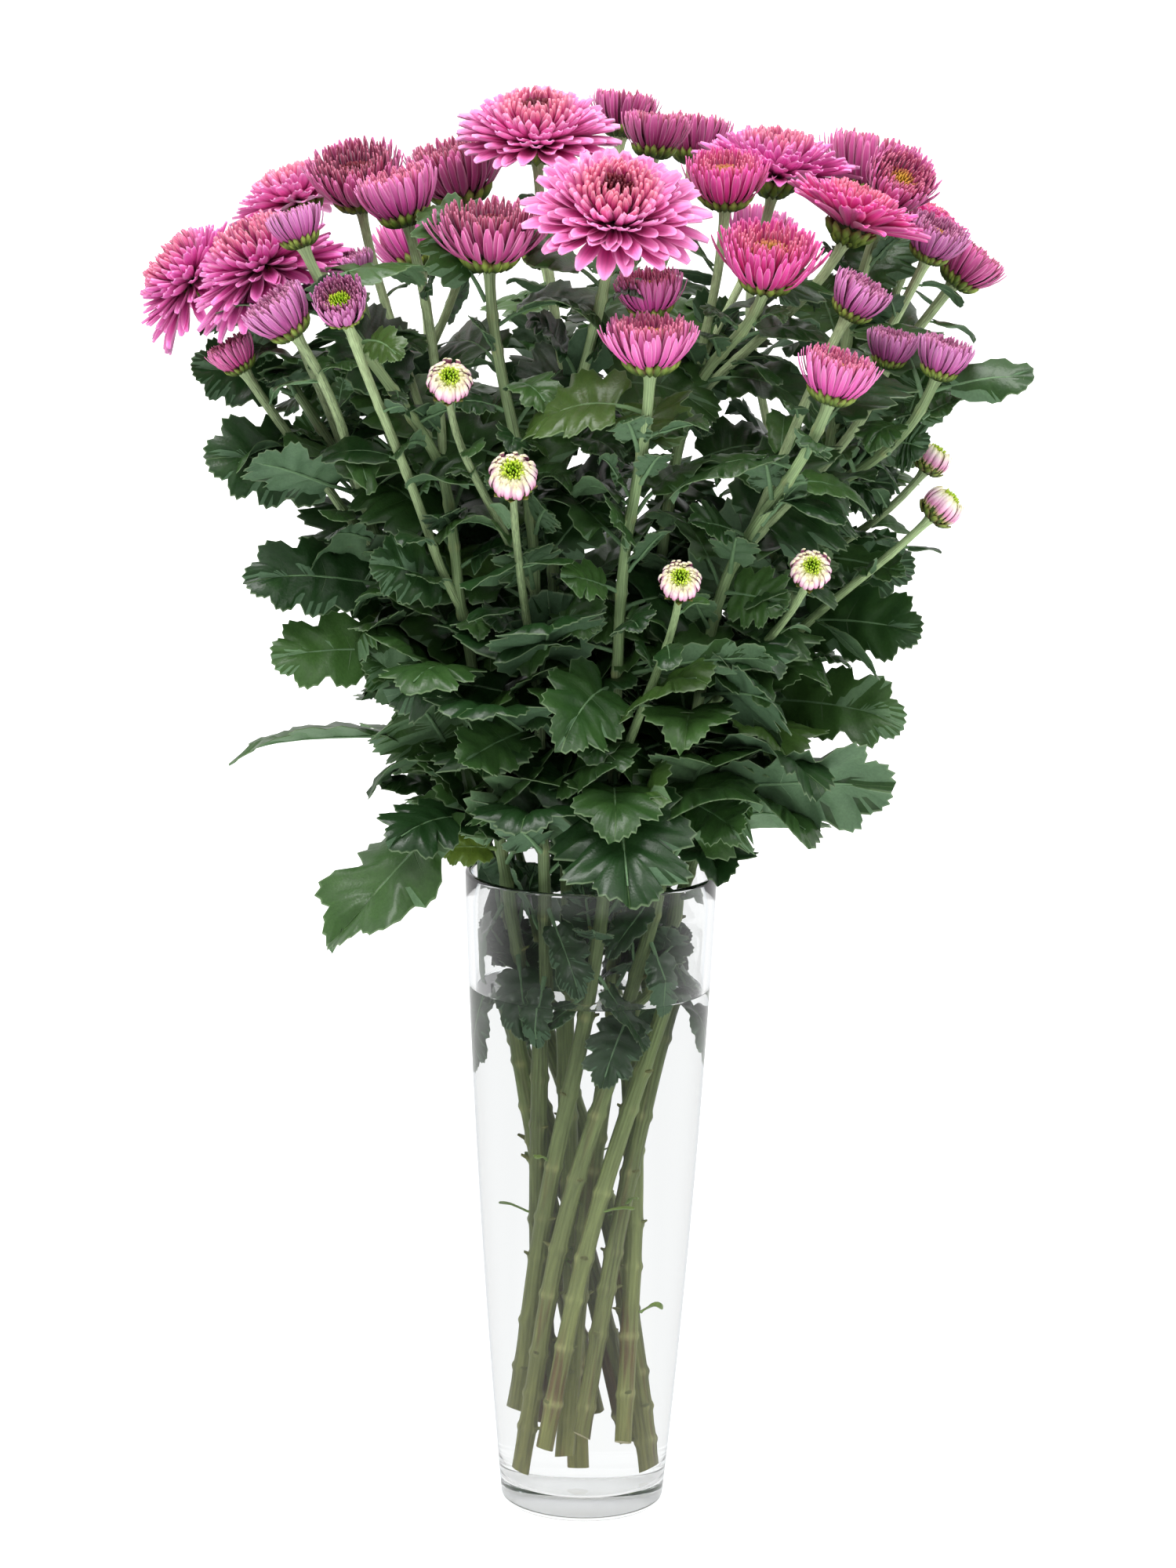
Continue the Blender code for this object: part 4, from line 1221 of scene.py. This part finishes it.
class StageSettings(bpy.types.PropertyGroup):
    """The floor, the light and the camera."""

    sky_strength: bpy.props.FloatProperty(
        name="Room Light", description="Strength of the white light from above and behind", default=1.0,
        min=0)
    front_strength: bpy.props.FloatProperty(
        name="Front Light", description="Strength of the light from low in front", default=0.08, min=0)
    floor_glow: bpy.props.FloatProperty(
        name="Floor Glow", description="How brightly the floor is lit from below", default=0.45, min=0)
    key_power: bpy.props.FloatProperty(
        name="Key Light", description="Power of the large light above", default=30, unit="POWER", min=0)
    fill_power: bpy.props.FloatProperty(
        name="Fill Light", description="Power of the light from the right", default=8, unit="POWER", min=0)
    floor_colour: bpy.props.FloatVectorProperty(
        name="Floor", description="Colour of the floor", default=linear("#F4F4F4"), size=4,
        subtype="COLOR", min=0, max=1)


grown = {}  # what one operator works out for the next: strands, heads and leaf nodes


# ---------------------------------------------------------------- operators


class BOUQUET_OT_vase(bpy.types.Operator):
    """Turn the glass vase and fill it with water"""

    bl_idname = "bouquet.vase"
    bl_label = "Vase and Water"

    def execute(self, context):
        settings = context.scene.bouquet_glass
        inner, base, wet = make_vase(settings)
        make_water(inner, base, wet, settings)
        grown["inner"] = inner
        return {"FINISHED"}


class BOUQUET_OT_stems(bpy.types.Operator):
    """Grow the ribbed stems with their side shoots and leaf scars"""

    bl_idname = "bouquet.stems"
    bl_label = "Stems"

    def execute(self, context):
        settings = context.scene.bouquet_stem
        draw = random.Random(SEED)
        materials = [stem_material(), pith_material()]
        heads = [read_head(node) for start in ("open", "half", "bud") for node in nodes_named(start)]
        stems = nodes_named("stem")
        corners = {node: np.array([v.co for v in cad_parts[node].data.vertices]) for node in stems}
        owned = {node: [] for node in stems}
        for head in heads:
            gaps = {n: np.linalg.norm(c - np.array(head["base"]), axis=1).min() for n, c in corners.items()}
            owned[min(gaps, key=gaps.get)].append(head)
        scars = [leaf_scar(draw) for _ in range(4)]
        grown["heads"] = heads
        grown["strands"] = [trace_strands(node, owned[node]) for node in stems]
        for number, strands in enumerate(grown["strands"], 1):
            make_stem(number, strands, settings, materials, draw, scars)
        return {"FINISHED"}


# ray floret skins: outer florets from base to tip, inner ones from base to tip, both darkened at the base
# with painted shade, the channel's painted shade, and how far in the inner ones begin
PETALS = {
    "pale": (("#B00068", "#E046A6", "#FBA6DE"), ("#9A0656", "#CE3E8C", "#F490A4"), "#B4006C", 0.4),
    "rose": (("#A00060", "#CE349C", "#F080CC"), ("#88084E", "#BE3680", "#E87E98"), "#A00064", 0.45),
    "deep": (("#9E0052", "#D01C82", "#F058B0"), ("#8A0444", "#C82C76", "#E86E8E"), "#98004E", 0.35),
    "cup": (("#A0106A", "#CE429C", "#EC80C2"), ("#5E0838", "#A82A6A", "#DC7090"), "#880658", 0.15),
    "lilac": (("#86185E", "#AE4690", "#D280BE"), ("#500A38", "#8C2E66", "#C2709C"), "#700E50", 0.15),
    "wine": (("#86104E", "#B63680", "#DC6AAA"), ("#420624", "#841E50", "#C05A78"), "#5C0834", 0.15),
}
DISCS = {"maroon": ("#7A2434", "#5A1628"), "amber": ("#B05A4A", "#A8742E"),
         "yellow": ("#B0684A", "#C89A30"), "lime": ("#B8D038", "#8CB410")}
# Each head's own looks: florets, disc, how much more its florets are lifted, in degrees, and how much
# further they reach. A head that isn't named here has the plain looks of its kind.
HEAD_LOOKS = {
    "open_flower_01": ("rose", "maroon", -30, 1.16), "open_flower_02": ("rose", "maroon", -24, 1.12),
    "open_flower_03": ("pale", "maroon", -8, 1.06), "open_flower_04": ("pale", "maroon", 0, 1),
    "open_flower_05": ("pale", "maroon", 0, 1), "open_flower_06": ("rose", "amber", 6, 1.12),
    "open_flower_07": ("deep", "amber", 16, 1.18), "open_flower_08": ("deep", "amber", 12, 1),
    "half_open_flower_02": ("wine", "maroon", -8, 1.05), "half_open_flower_03": ("lilac", "lime", 6, 1),
    "half_open_flower_04": ("lilac", "amber", 4, 1), "half_open_flower_05": ("lilac", "amber", 4, 1),
    "half_open_flower_06": ("wine", "amber", 4, 1), "half_open_flower_07": ("lilac", "maroon", 4, 1),
    "half_open_flower_08": ("wine", "maroon", -6, 1), "half_open_flower_10": ("wine", "maroon", -14, 1),
    "half_open_flower_11": ("cup", "amber", -10, 1), "half_open_flower_13": ("deep", "amber", -2, 1),
    "half_open_flower_14": ("deep", "amber", -10, 1), "half_open_flower_15": ("wine", "maroon", 0, 1),
    "half_open_flower_16": ("wine", "maroon", 0, 1), "half_open_flower_17": ("wine", "maroon", 0, 1),
    "half_open_flower_20": ("lilac", "amber", 4, 1), "half_open_flower_21": ("lilac", "amber", 4, 1),
    "half_open_flower_22": ("cup", "yellow", 2, 1), "half_open_flower_23": ("lilac", "amber", 0, 1),
    "half_open_flower_24": ("wine", "maroon", -2, 1), "half_open_flower_25": ("wine", "amber", 2, 1),
    "half_open_flower_26": ("lilac", "amber", 4, 1),
}
PLAIN_LOOKS = {"half_open_flower": ("cup", "amber", 0, 1), "bud": ("bud", "lime", 0, 1)}
# how far some heads are turned from their solids, as a push on the axis: each is turned about its middle
TURNS = {"open_flower_01": (-0.1, 0.35, 0.1), "open_flower_05": (0, -0.22, 0), "bud_01": (0, -0.7, 0),
         "bud_02": (0, -0.7, 0), "bud_03": (0, -0.7, 0), "bud_04": (0, -0.7, 0),
         "half_open_flower_02": (0, -0.2, 0), "half_open_flower_22": (0, -0.25, 0)}


def turned_head(head):
    """The head with its axis pushed over a little, if it is one of the turned ones."""
    middle = head["base"] + head["axis"] * head["height"] * 0.5
    axis = (head["axis"] + Vector(TURNS.get(head["node"], (0, 0, 0)))).normalized()
    return dict(head, axis=axis, base=middle - axis * head["height"] * 0.5)


class BOUQUET_OT_flowers(bpy.types.Operator):
    """Set every floret of the open and half-open flowers and the buds"""

    bl_idname = "bouquet.flowers"
    bl_label = "Flower Heads"

    def execute(self, context):
        settings = context.scene.bouquet_flower
        draw = random.Random(SEED + 1)
        petals = {n: petal_material(f"ray floret, soft satin petal, {n}", *c, settings.margin)
                  for n, c in PETALS.items()}
        petals["bud"] = bud_petal_material()
        discs = {n: disc_material(f"disc florets, waxy tips, {n}", *c) for n, c in DISCS.items()}
        scales = scale_material()
        sets = {n: floret_set(*kind["florets"]) for n, kind in HEAD_KINDS.items()}
        bead = kept(floret(BEAD, 4.2 * MM, 1.4 * MM, 0.7 * MM, 0.1), DISC)
        scale_leaf = kept(floret(SCALE_FORM, 1.0, 1.0, 0.16, 0.6), CALYX)
        for head in map(turned_head, grown["heads"]):
            node = head["node"]
            name, number = node[:-3], node[-2:]
            kind = HEAD_KINDS[name]
            petal, disc, more, reach = HEAD_LOOKS.get(node) or PLAIN_LOOKS[name]
            count = getattr(settings, kind["count"])
            shape = grow_head(head, kind, sets[name], count, more, reach, bead, scale_leaf, draw)
            materials = [petals[petal], discs[disc], scales]
            add_piece(f"{kind['piece']}_{number}", shape, materials, [node], sharp=115)
        return {"FINISHED"}


class BOUQUET_OT_leaves(bpy.types.Operator):
    """Grow the lobed leaves on the stems' nodes, and the small ones below the flowers"""

    bl_idname = "bouquet.leaves"
    bl_label = "Leaves"

    def execute(self, context):
        settings = context.scene.bouquet_leaf
        draw = random.Random(SEED + 2)
        skins = leaf_materials(settings)
        blades = {"broad": leaf_blade("broad", 1.0), "slim": leaf_blade("broad", 1.12),
                  "long": leaf_blade("long", 1.05), "small": leaf_blade("small", 1.0, 18, 4),
                  "tongue": leaf_blade("tongue", 1.05, 12, 4)}
        for number, node in enumerate(nodes_named("leaf"), 1):
            shape = new_shape()
            blade = blades["long" if number == 3 else "broad"]
            leaf = read_leaf(node, grown["strands"])
            if number == 4:  # the one that hangs at the lower left shows its face
                leaf["facing"] = leaf["facing"].normalized() + Vector((0, -0.6, 0))
            grow_leaf(shape, blade, leaf, draw, settings.thickness)
            add_piece(f"outer_lobed_leaf_{number:02d}", shape, skins, [node], sharp=60)
        shapes = [new_shape() for _ in grown["strands"]]
        for leaf in STANDOUT_LEAVES:
            grow_standout_leaf(shapes, blades, leaf, draw, settings)
        for number, (shape, strands) in enumerate(zip(shapes, grown["strands"]), 1):
            grow_foliage(shape, strands, blades, draw, settings)
            add_piece(f"foliage_of_stem_{number:02d}", shape, skins, sharp=60)
        return {"FINISHED"}


def grow_foliage(shape, strands, blades, draw, settings):
    """All the leaves of one stem: those above the vase, those caught in its neck, the sprouts under
    water and the small leaves on the side shoots."""
    rim, top = rim_height(), stem_top()
    points, root, _, _ = strands[0]
    high = top - (10 if points[-1][1] > 0 else 35) * MM  # the back stems are leafy nearly to the flowers
    for spot in leaf_spots(points, settings.spacing, draw, rim + 3 * MM, high, root * 0.8):
        grow_spot_leaf(shape, spot, draw, settings, blades, (spot["at"].z - rim) / (top - rim))
    for spot in leaf_spots(points, 9 * MM, draw, 0.8 * rim, rim - 4 * MM, root * 0.9):
        length = draw.uniform(22, 36) * MM
        climb = draw.choice((-0.6, 0.5, 1.2))
        way = (spot["out"] * draw.uniform(0.4, 0.9) + spot["way"] * climb).normalized()
        leaf = {"start": spot["at"], "way": way, "length": length, "width": length * draw.uniform(0.5, 0.7),
                "droop": 0.1 * length, "facing": spot["out"], "within": grown["inner"]}
        grow_leaf(shape, blades["broad"], leaf, draw, settings.thickness)
    for spot in leaf_spots(points, 60 * MM, draw, 0.3 * rim, 0.64 * rim, root * 0.9):
        grow_leaflet(shape, spot, draw, settings, blades, draw.uniform(7, 13) * MM, 0.5)
    for order, (points, root, _, _) in enumerate(strands):
        low = top - 40 * MM if order == 0 else rim + 10 * MM
        for spot in leaf_spots(points, settings.shoot_spacing, draw, low, 1.0, root * 0.8):
            share = spot["share"] if order else 0.8
            length = (settings.fork_length * (1 - share) + 11 * MM * share) * draw.uniform(0.75, 1.2)
            grow_leaflet(shape, spot, draw, settings, blades, length)


def leaf_spots(points, spacing, draw, low, high, radius):
    """Places for leaves between two heights on a stem, each a golden angle on from the last."""
    spots, at, total = [], spacing * draw.uniform(0.3, 0.9), route_length(points)[-1]
    turn_at = draw.uniform(0, math.tau)
    while at < total - 9 * MM:
        middle, way = on_route(points, at)
        turn_at += GOLDEN_ANGLE
        outward = outward_at(way, turn_at)
        if low < middle.z < high:
            spots.append({"at": middle + outward * radius, "out": outward, "way": way, "share": at / total})
        at += spacing * draw.uniform(0.8, 1.2)
    return spots


def grow_spot_leaf(shape, spot, draw, settings, blades, share):
    """A leaf on a main stem's node: it rises a little, arches over and turns its face up and outwards.
    The leaves are long near the rim and shorter above, where those that point outwards are small."""
    outward = Vector((spot["at"].x, spot["at"].y, 0)).normalized()
    flat = (Vector((spot["out"].x, spot["out"].y, 0)).normalized() + outward * 0.35).normalized()
    facing = flat.dot(outward)
    length = settings.low_length + (settings.high_length - settings.low_length) * min(1, share / 0.75)
    length *= draw.uniform(0.8, 1.12) * (1.15 if flat.y > 0 else 1)
    if share > 0.35 and flat.y < -0.2:
        length *= 0.5
    climb = math.radians(draw.uniform(8, 62) + 12 * share)
    if share < 0.12:  # the lowest leaves rise clear of the rim
        climb = max(climb, math.radians(draw.uniform(25, 60)))
    if facing > 0.3:
        room = along_table(CROWN, spot["at"].z) - spot["at"].xy.length
        length = min(length, max(22 * MM, room / math.cos(climb) * draw.uniform(0.9, 1.15)))
    way = flat * math.cos(climb) + Vector((0, 0, math.sin(climb)))
    turned_out = draw.uniform(0.1, 1.3) * math.cos(climb)**2
    chance = Vector((draw.gauss(0, 0.25), draw.gauss(0, 0.25), 0))
    # it may hang to about the rim
    room = spot["at"].z + way.z * length - rim_height() + draw.uniform(-12, 2) * MM
    droop = min(length * draw.uniform(0.1, 0.7), max(0.05 * length, room))
    length = clear_length(spot["at"], way, length)
    leaf = {"start": spot["at"], "way": way, "length": length, "width": length * draw.uniform(0.6, 0.8),
            "droop": droop, "facing": Vector((0, 0, 1)) + outward * turned_out + chance}
    age = max(0.0, draw.gauss(-0.12, 0.1))
    blade = blades[draw.choice(("broad", "slim", "long"))]
    grow_leaf(shape, blade, leaf, draw, settings.thickness, age)


def grow_leaflet(shape, spot, draw, settings, blades, length, age=0.0):
    """A small leaf on a flower's own stalk, tongue-shaped if it is very small."""
    way = (spot["out"] + spot["way"] * draw.uniform(0.5, 1.1)).normalized()
    tongue = length < 17 * MM
    wide = draw.uniform(0.3, 0.42) if tongue else draw.uniform(0.45, 0.62)
    leaf = {"start": spot["at"], "way": way, "length": length, "width": length * wide,
            "droop": length * draw.uniform(0.1, 0.5), "stalk_radius": 0.6 * MM, "stalk": 0.12,
            "facing": Vector((draw.gauss(0, 0.4), draw.gauss(0, 0.4), 1))}
    grow_leaf(shape, blades["tongue" if tongue else "small"], leaf, draw, settings.thickness, age)


def grow_standout_leaf(shapes, blades, leaf, draw, settings):
    """One of the listed leaves that stand out, on its stem at its height."""
    stem, height, bearing, climb, length, width, style, kind = leaf
    points = grown["strands"][stem - 1][0][0]
    start = Vector(points[abs(points[:, 2] - height * MM).argmin()])
    bearing, climb = math.radians(bearing), math.radians(climb)
    way = Vector((math.cos(bearing) * math.cos(climb), math.sin(bearing) * math.cos(climb), math.sin(climb)))
    length = clear_length(start, way, length * MM)
    front = Vector((0, 1, 0.2)) if kind == "under" else Vector((0, -1, 0.5))
    leaf = {"start": start, "way": way, "length": length, "width": width * MM, "droop": 0.15 * length,
            "facing": front, "free": 0.4}
    grow_leaf(shapes[stem - 1], blades[style], leaf, draw, settings.thickness, 0.45 if kind == "young" else 0)


def clear_length(start, way, length):
    """How long a leaf can be before it would grow into a bud."""
    for node in nodes_named("bud"):
        low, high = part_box(node)
        centre, room = (low + high) / 2, (high - low).length / 2 + 0.25 * length
        ahead = (centre - start).dot(way)
        if ahead > 0 and (centre - start - way * ahead).length < room:
            length = min(length, max(12 * MM, ahead - (high - low).length / 2 - 3 * MM))
    return length


CAMERA_PLACE = (-0.0017, -1.80, 0.62)  # metres
CAMERA_DIP = 10.6  # degrees that it looks down
CAMERA_ROLL = 0.86  # degrees
CAMERA_LENS = 110.97  # mm
LAMPS_AIM = (0, 0, 0.36)  # the middle of the bouquet


class BOUQUET_OT_stage(bpy.types.Operator):
    """Set up the pale floor, the soft studio light and the camera"""

    bl_idname = "bouquet.stage"
    bl_label = "Stage"

    def execute(self, context):
        settings = context.scene.bouquet_stage
        scene = context.scene
        make_floor(settings)
        scene.world = make_room(settings)
        add_light("key", (-0.5, -0.6, 2.1), 1.1, settings.key_power)
        add_light("fill", (1.3, -0.9, 1.5), 0.9, settings.fill_power)
        data = bpy.data.cameras.new("camera")
        data.sensor_width = 36
        data.lens = CAMERA_LENS
        camera = bpy.data.objects.new("camera", data)
        scene.collection.objects.link(camera)
        camera.rotation_mode = "XYZ"
        camera.location = CAMERA_PLACE
        dip = Matrix.Rotation(math.radians(90 - CAMERA_DIP), 4, "X")
        camera.rotation_euler = (dip @ Matrix.Rotation(math.radians(CAMERA_ROLL), 4, "Z")).to_euler()
        scene.camera = camera
        scene.view_settings.view_transform = "Standard"
        # light runs round inside the thick foot of the glass many times before it leaves
        scene.cycles.max_bounces = 32
        scene.cycles.transmission_bounces = 32
        scene.cycles.glossy_bounces = 12
        return {"FINISHED"}


def make_room(settings):
    """The white room: bright above, behind and straight below, and dim in front, so that the glass
    mirrors something dark there. Matt things are lit mainly from above. Seen straight, it is white."""
    world = bpy.data.worlds.new("white room")
    world.use_nodes = True
    tree = world.node_tree
    where = add_node(tree, "TexCoord", output="Generated")
    _, forward, upward = add_node(tree, "SeparateXYZ", (where,)).node.outputs
    above = add_node(tree, "MapRange", (upward, -0.15, 0.75), **SOFT)
    below = add_node(tree, "MapRange", (upward, -0.28, -0.45), **SOFT)
    behind = add_node(tree, "MapRange", (forward, -0.6, 0.5), **SOFT)
    bright = add_node(tree, "Math", (above, below), operation="MAXIMUM")
    bright = add_node(tree, "Math", (bright, behind), operation="MAXIMUM")
    more = settings.sky_strength - settings.front_strength
    bright = add_node(tree, "Math", (bright, more, settings.front_strength), operation="MULTIPLY_ADD")
    ray = add_node(tree, "LightPath").node.outputs
    matt = add_node(tree, "MapRange", (upward, -0.1, 0.8), **SOFT)
    matt = add_node(tree, "Math", (matt, 0.85, 0.25), operation="MULTIPLY_ADD")
    bright = add_node(tree, "Mix", {0: ray["Is Diffuse Ray"], 2: bright, 3: matt})
    # a ray that has only passed through the glass finds the front white, and a mirrored one finds it dim
    passed = add_node(tree, "Math", (ray["Glossy Depth"], 0.5), operation="LESS_THAN")
    passed = add_node(tree, "Math", (ray["Is Transmission Ray"], passed), operation="MULTIPLY")
    front = add_node(tree, "MapRange", (forward, -0.35, -0.75), **SOFT)
    through = add_node(tree, "Math", (passed, front), operation="MULTIPLY")
    bright = add_node(tree, "Math", (bright, through), operation="MAXIMUM")
    strength = add_node(tree, "Mix", {0: ray["Is Camera Ray"], 2: bright, 3: 1.0})
    light = tree.nodes["Background"]
    light.inputs["Color"].default_value = (1, 1, 1, 1)
    tree.links.new(strength, light.inputs["Strength"])
    return world


def make_floor(settings):
    """A plain white floor, lit from below, that curves up into a backdrop behind."""
    shape = bmesh.new()
    profile = [(-3.0, -0.0002), (2.0, -0.0002)]
    profile += [(2.0 + 1.5 * math.sin(a), 1.5 - 1.5 * math.cos(a)) for a in np.linspace(0.1, math.pi / 2, 10)]
    profile.append((3.5, 4.0))
    points = [shape.verts.new((-4, y, z)) for y, z in profile]
    edges = [shape.edges.new(pair) for pair in zip(points, points[1:])]
    bmesh.ops.extrude_edge_only(shape, edges=edges)
    shape.verts.ensure_lookup_table()
    bmesh.ops.translate(shape, vec=(8, 0, 0), verts=shape.verts[len(points):])
    bmesh.ops.recalc_face_normals(shape, faces=shape.faces)
    mesh = bpy.data.meshes.new("floor")
    shape.to_mesh(mesh)
    shape.free()
    mesh.shade_smooth()
    made, _, shader = start_material("matt white acrylic, lit from below", 0.9, Specular_IOR_Level=0.0)
    shader.inputs["Base Color"].default_value = settings.floor_colour
    shader.inputs["Emission Color"].default_value = (1, 1, 1, 1)
    shader.inputs["Emission Strength"].default_value = settings.floor_glow
    mesh.materials.append(made)
    floor = bpy.data.objects.new("floor", mesh)
    bpy.context.scene.collection.objects.link(floor)
    # the glass mirrors the dim room in front, not the floor
    floor.visible_glossy = False
    floor.visible_transmission = False


def add_light(name, at, size, power):
    """A soft square light that looks at the bouquet."""
    data = bpy.data.lights.new(name, "AREA")
    data.size = size
    data.energy = power
    lamp = bpy.data.objects.new(name, data)
    bpy.context.scene.collection.objects.link(lamp)
    lamp.location = at
    way = Vector(LAMPS_AIM) - Vector(at)
    lamp.rotation_mode = "QUATERNION"
    lamp.rotation_quaternion = way.to_track_quat("-Z", "Y")


class BOUQUET_PT_panel(bpy.types.Panel):
    """Shows each step of the bouquet, with its button and its settings"""

    bl_idname = "BOUQUET_PT_panel"
    bl_label = "Bouquet"
    bl_space_type = "VIEW_3D"
    bl_region_type = "UI"
    bl_category = "Bouquet"

    def draw(self, context):
        scene = context.scene
        for operator, group in STEPS:
            box = self.layout.box()
            box.operator(operator.bl_idname)
            settings = getattr(scene, group)
            for name in type(settings).__annotations__:
                box.prop(settings, name)


STEPS = (
    (BOUQUET_OT_vase, "bouquet_glass"),
    (BOUQUET_OT_stems, "bouquet_stem"),
    (BOUQUET_OT_flowers, "bouquet_flower"),
    (BOUQUET_OT_leaves, "bouquet_leaf"),
    (BOUQUET_OT_stage, "bouquet_stage"),
)
GROUPS = {
    "bouquet_glass": GlassSettings, "bouquet_stem": StemSettings, "bouquet_flower": FlowerSettings,
    "bouquet_leaf": LeafSettings, "bouquet_stage": StageSettings,
}


def register():
    """Adds the settings, the operators and the panel."""
    for name, group in GROUPS.items():
        bpy.utils.register_class(group)
        setattr(bpy.types.Scene, name, bpy.props.PointerProperty(type=group))
    for operator, _ in STEPS:
        bpy.utils.register_class(operator)
    bpy.utils.register_class(BOUQUET_PT_panel)


def unregister():
    """Takes them away again."""
    bpy.utils.unregister_class(BOUQUET_PT_panel)
    for operator, _ in reversed(STEPS):
        bpy.utils.unregister_class(operator)
    for name, group in reversed(GROUPS.items()):
        delattr(bpy.types.Scene, name)
        bpy.utils.unregister_class(group)


def main():
    """Grows the bouquet step by step."""
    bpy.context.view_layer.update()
    register()
    bpy.ops.bouquet.vase()
    bpy.ops.bouquet.stems()
    bpy.ops.bouquet.flowers()
    bpy.ops.bouquet.leaves()
    bpy.ops.bouquet.stage()
    for mesh in [m for m in bpy.data.meshes if m.name.startswith("seedling")]:
        bpy.data.meshes.remove(mesh)  # the small shapes have been planted
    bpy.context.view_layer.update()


if __name__ == "__main__":
    main()
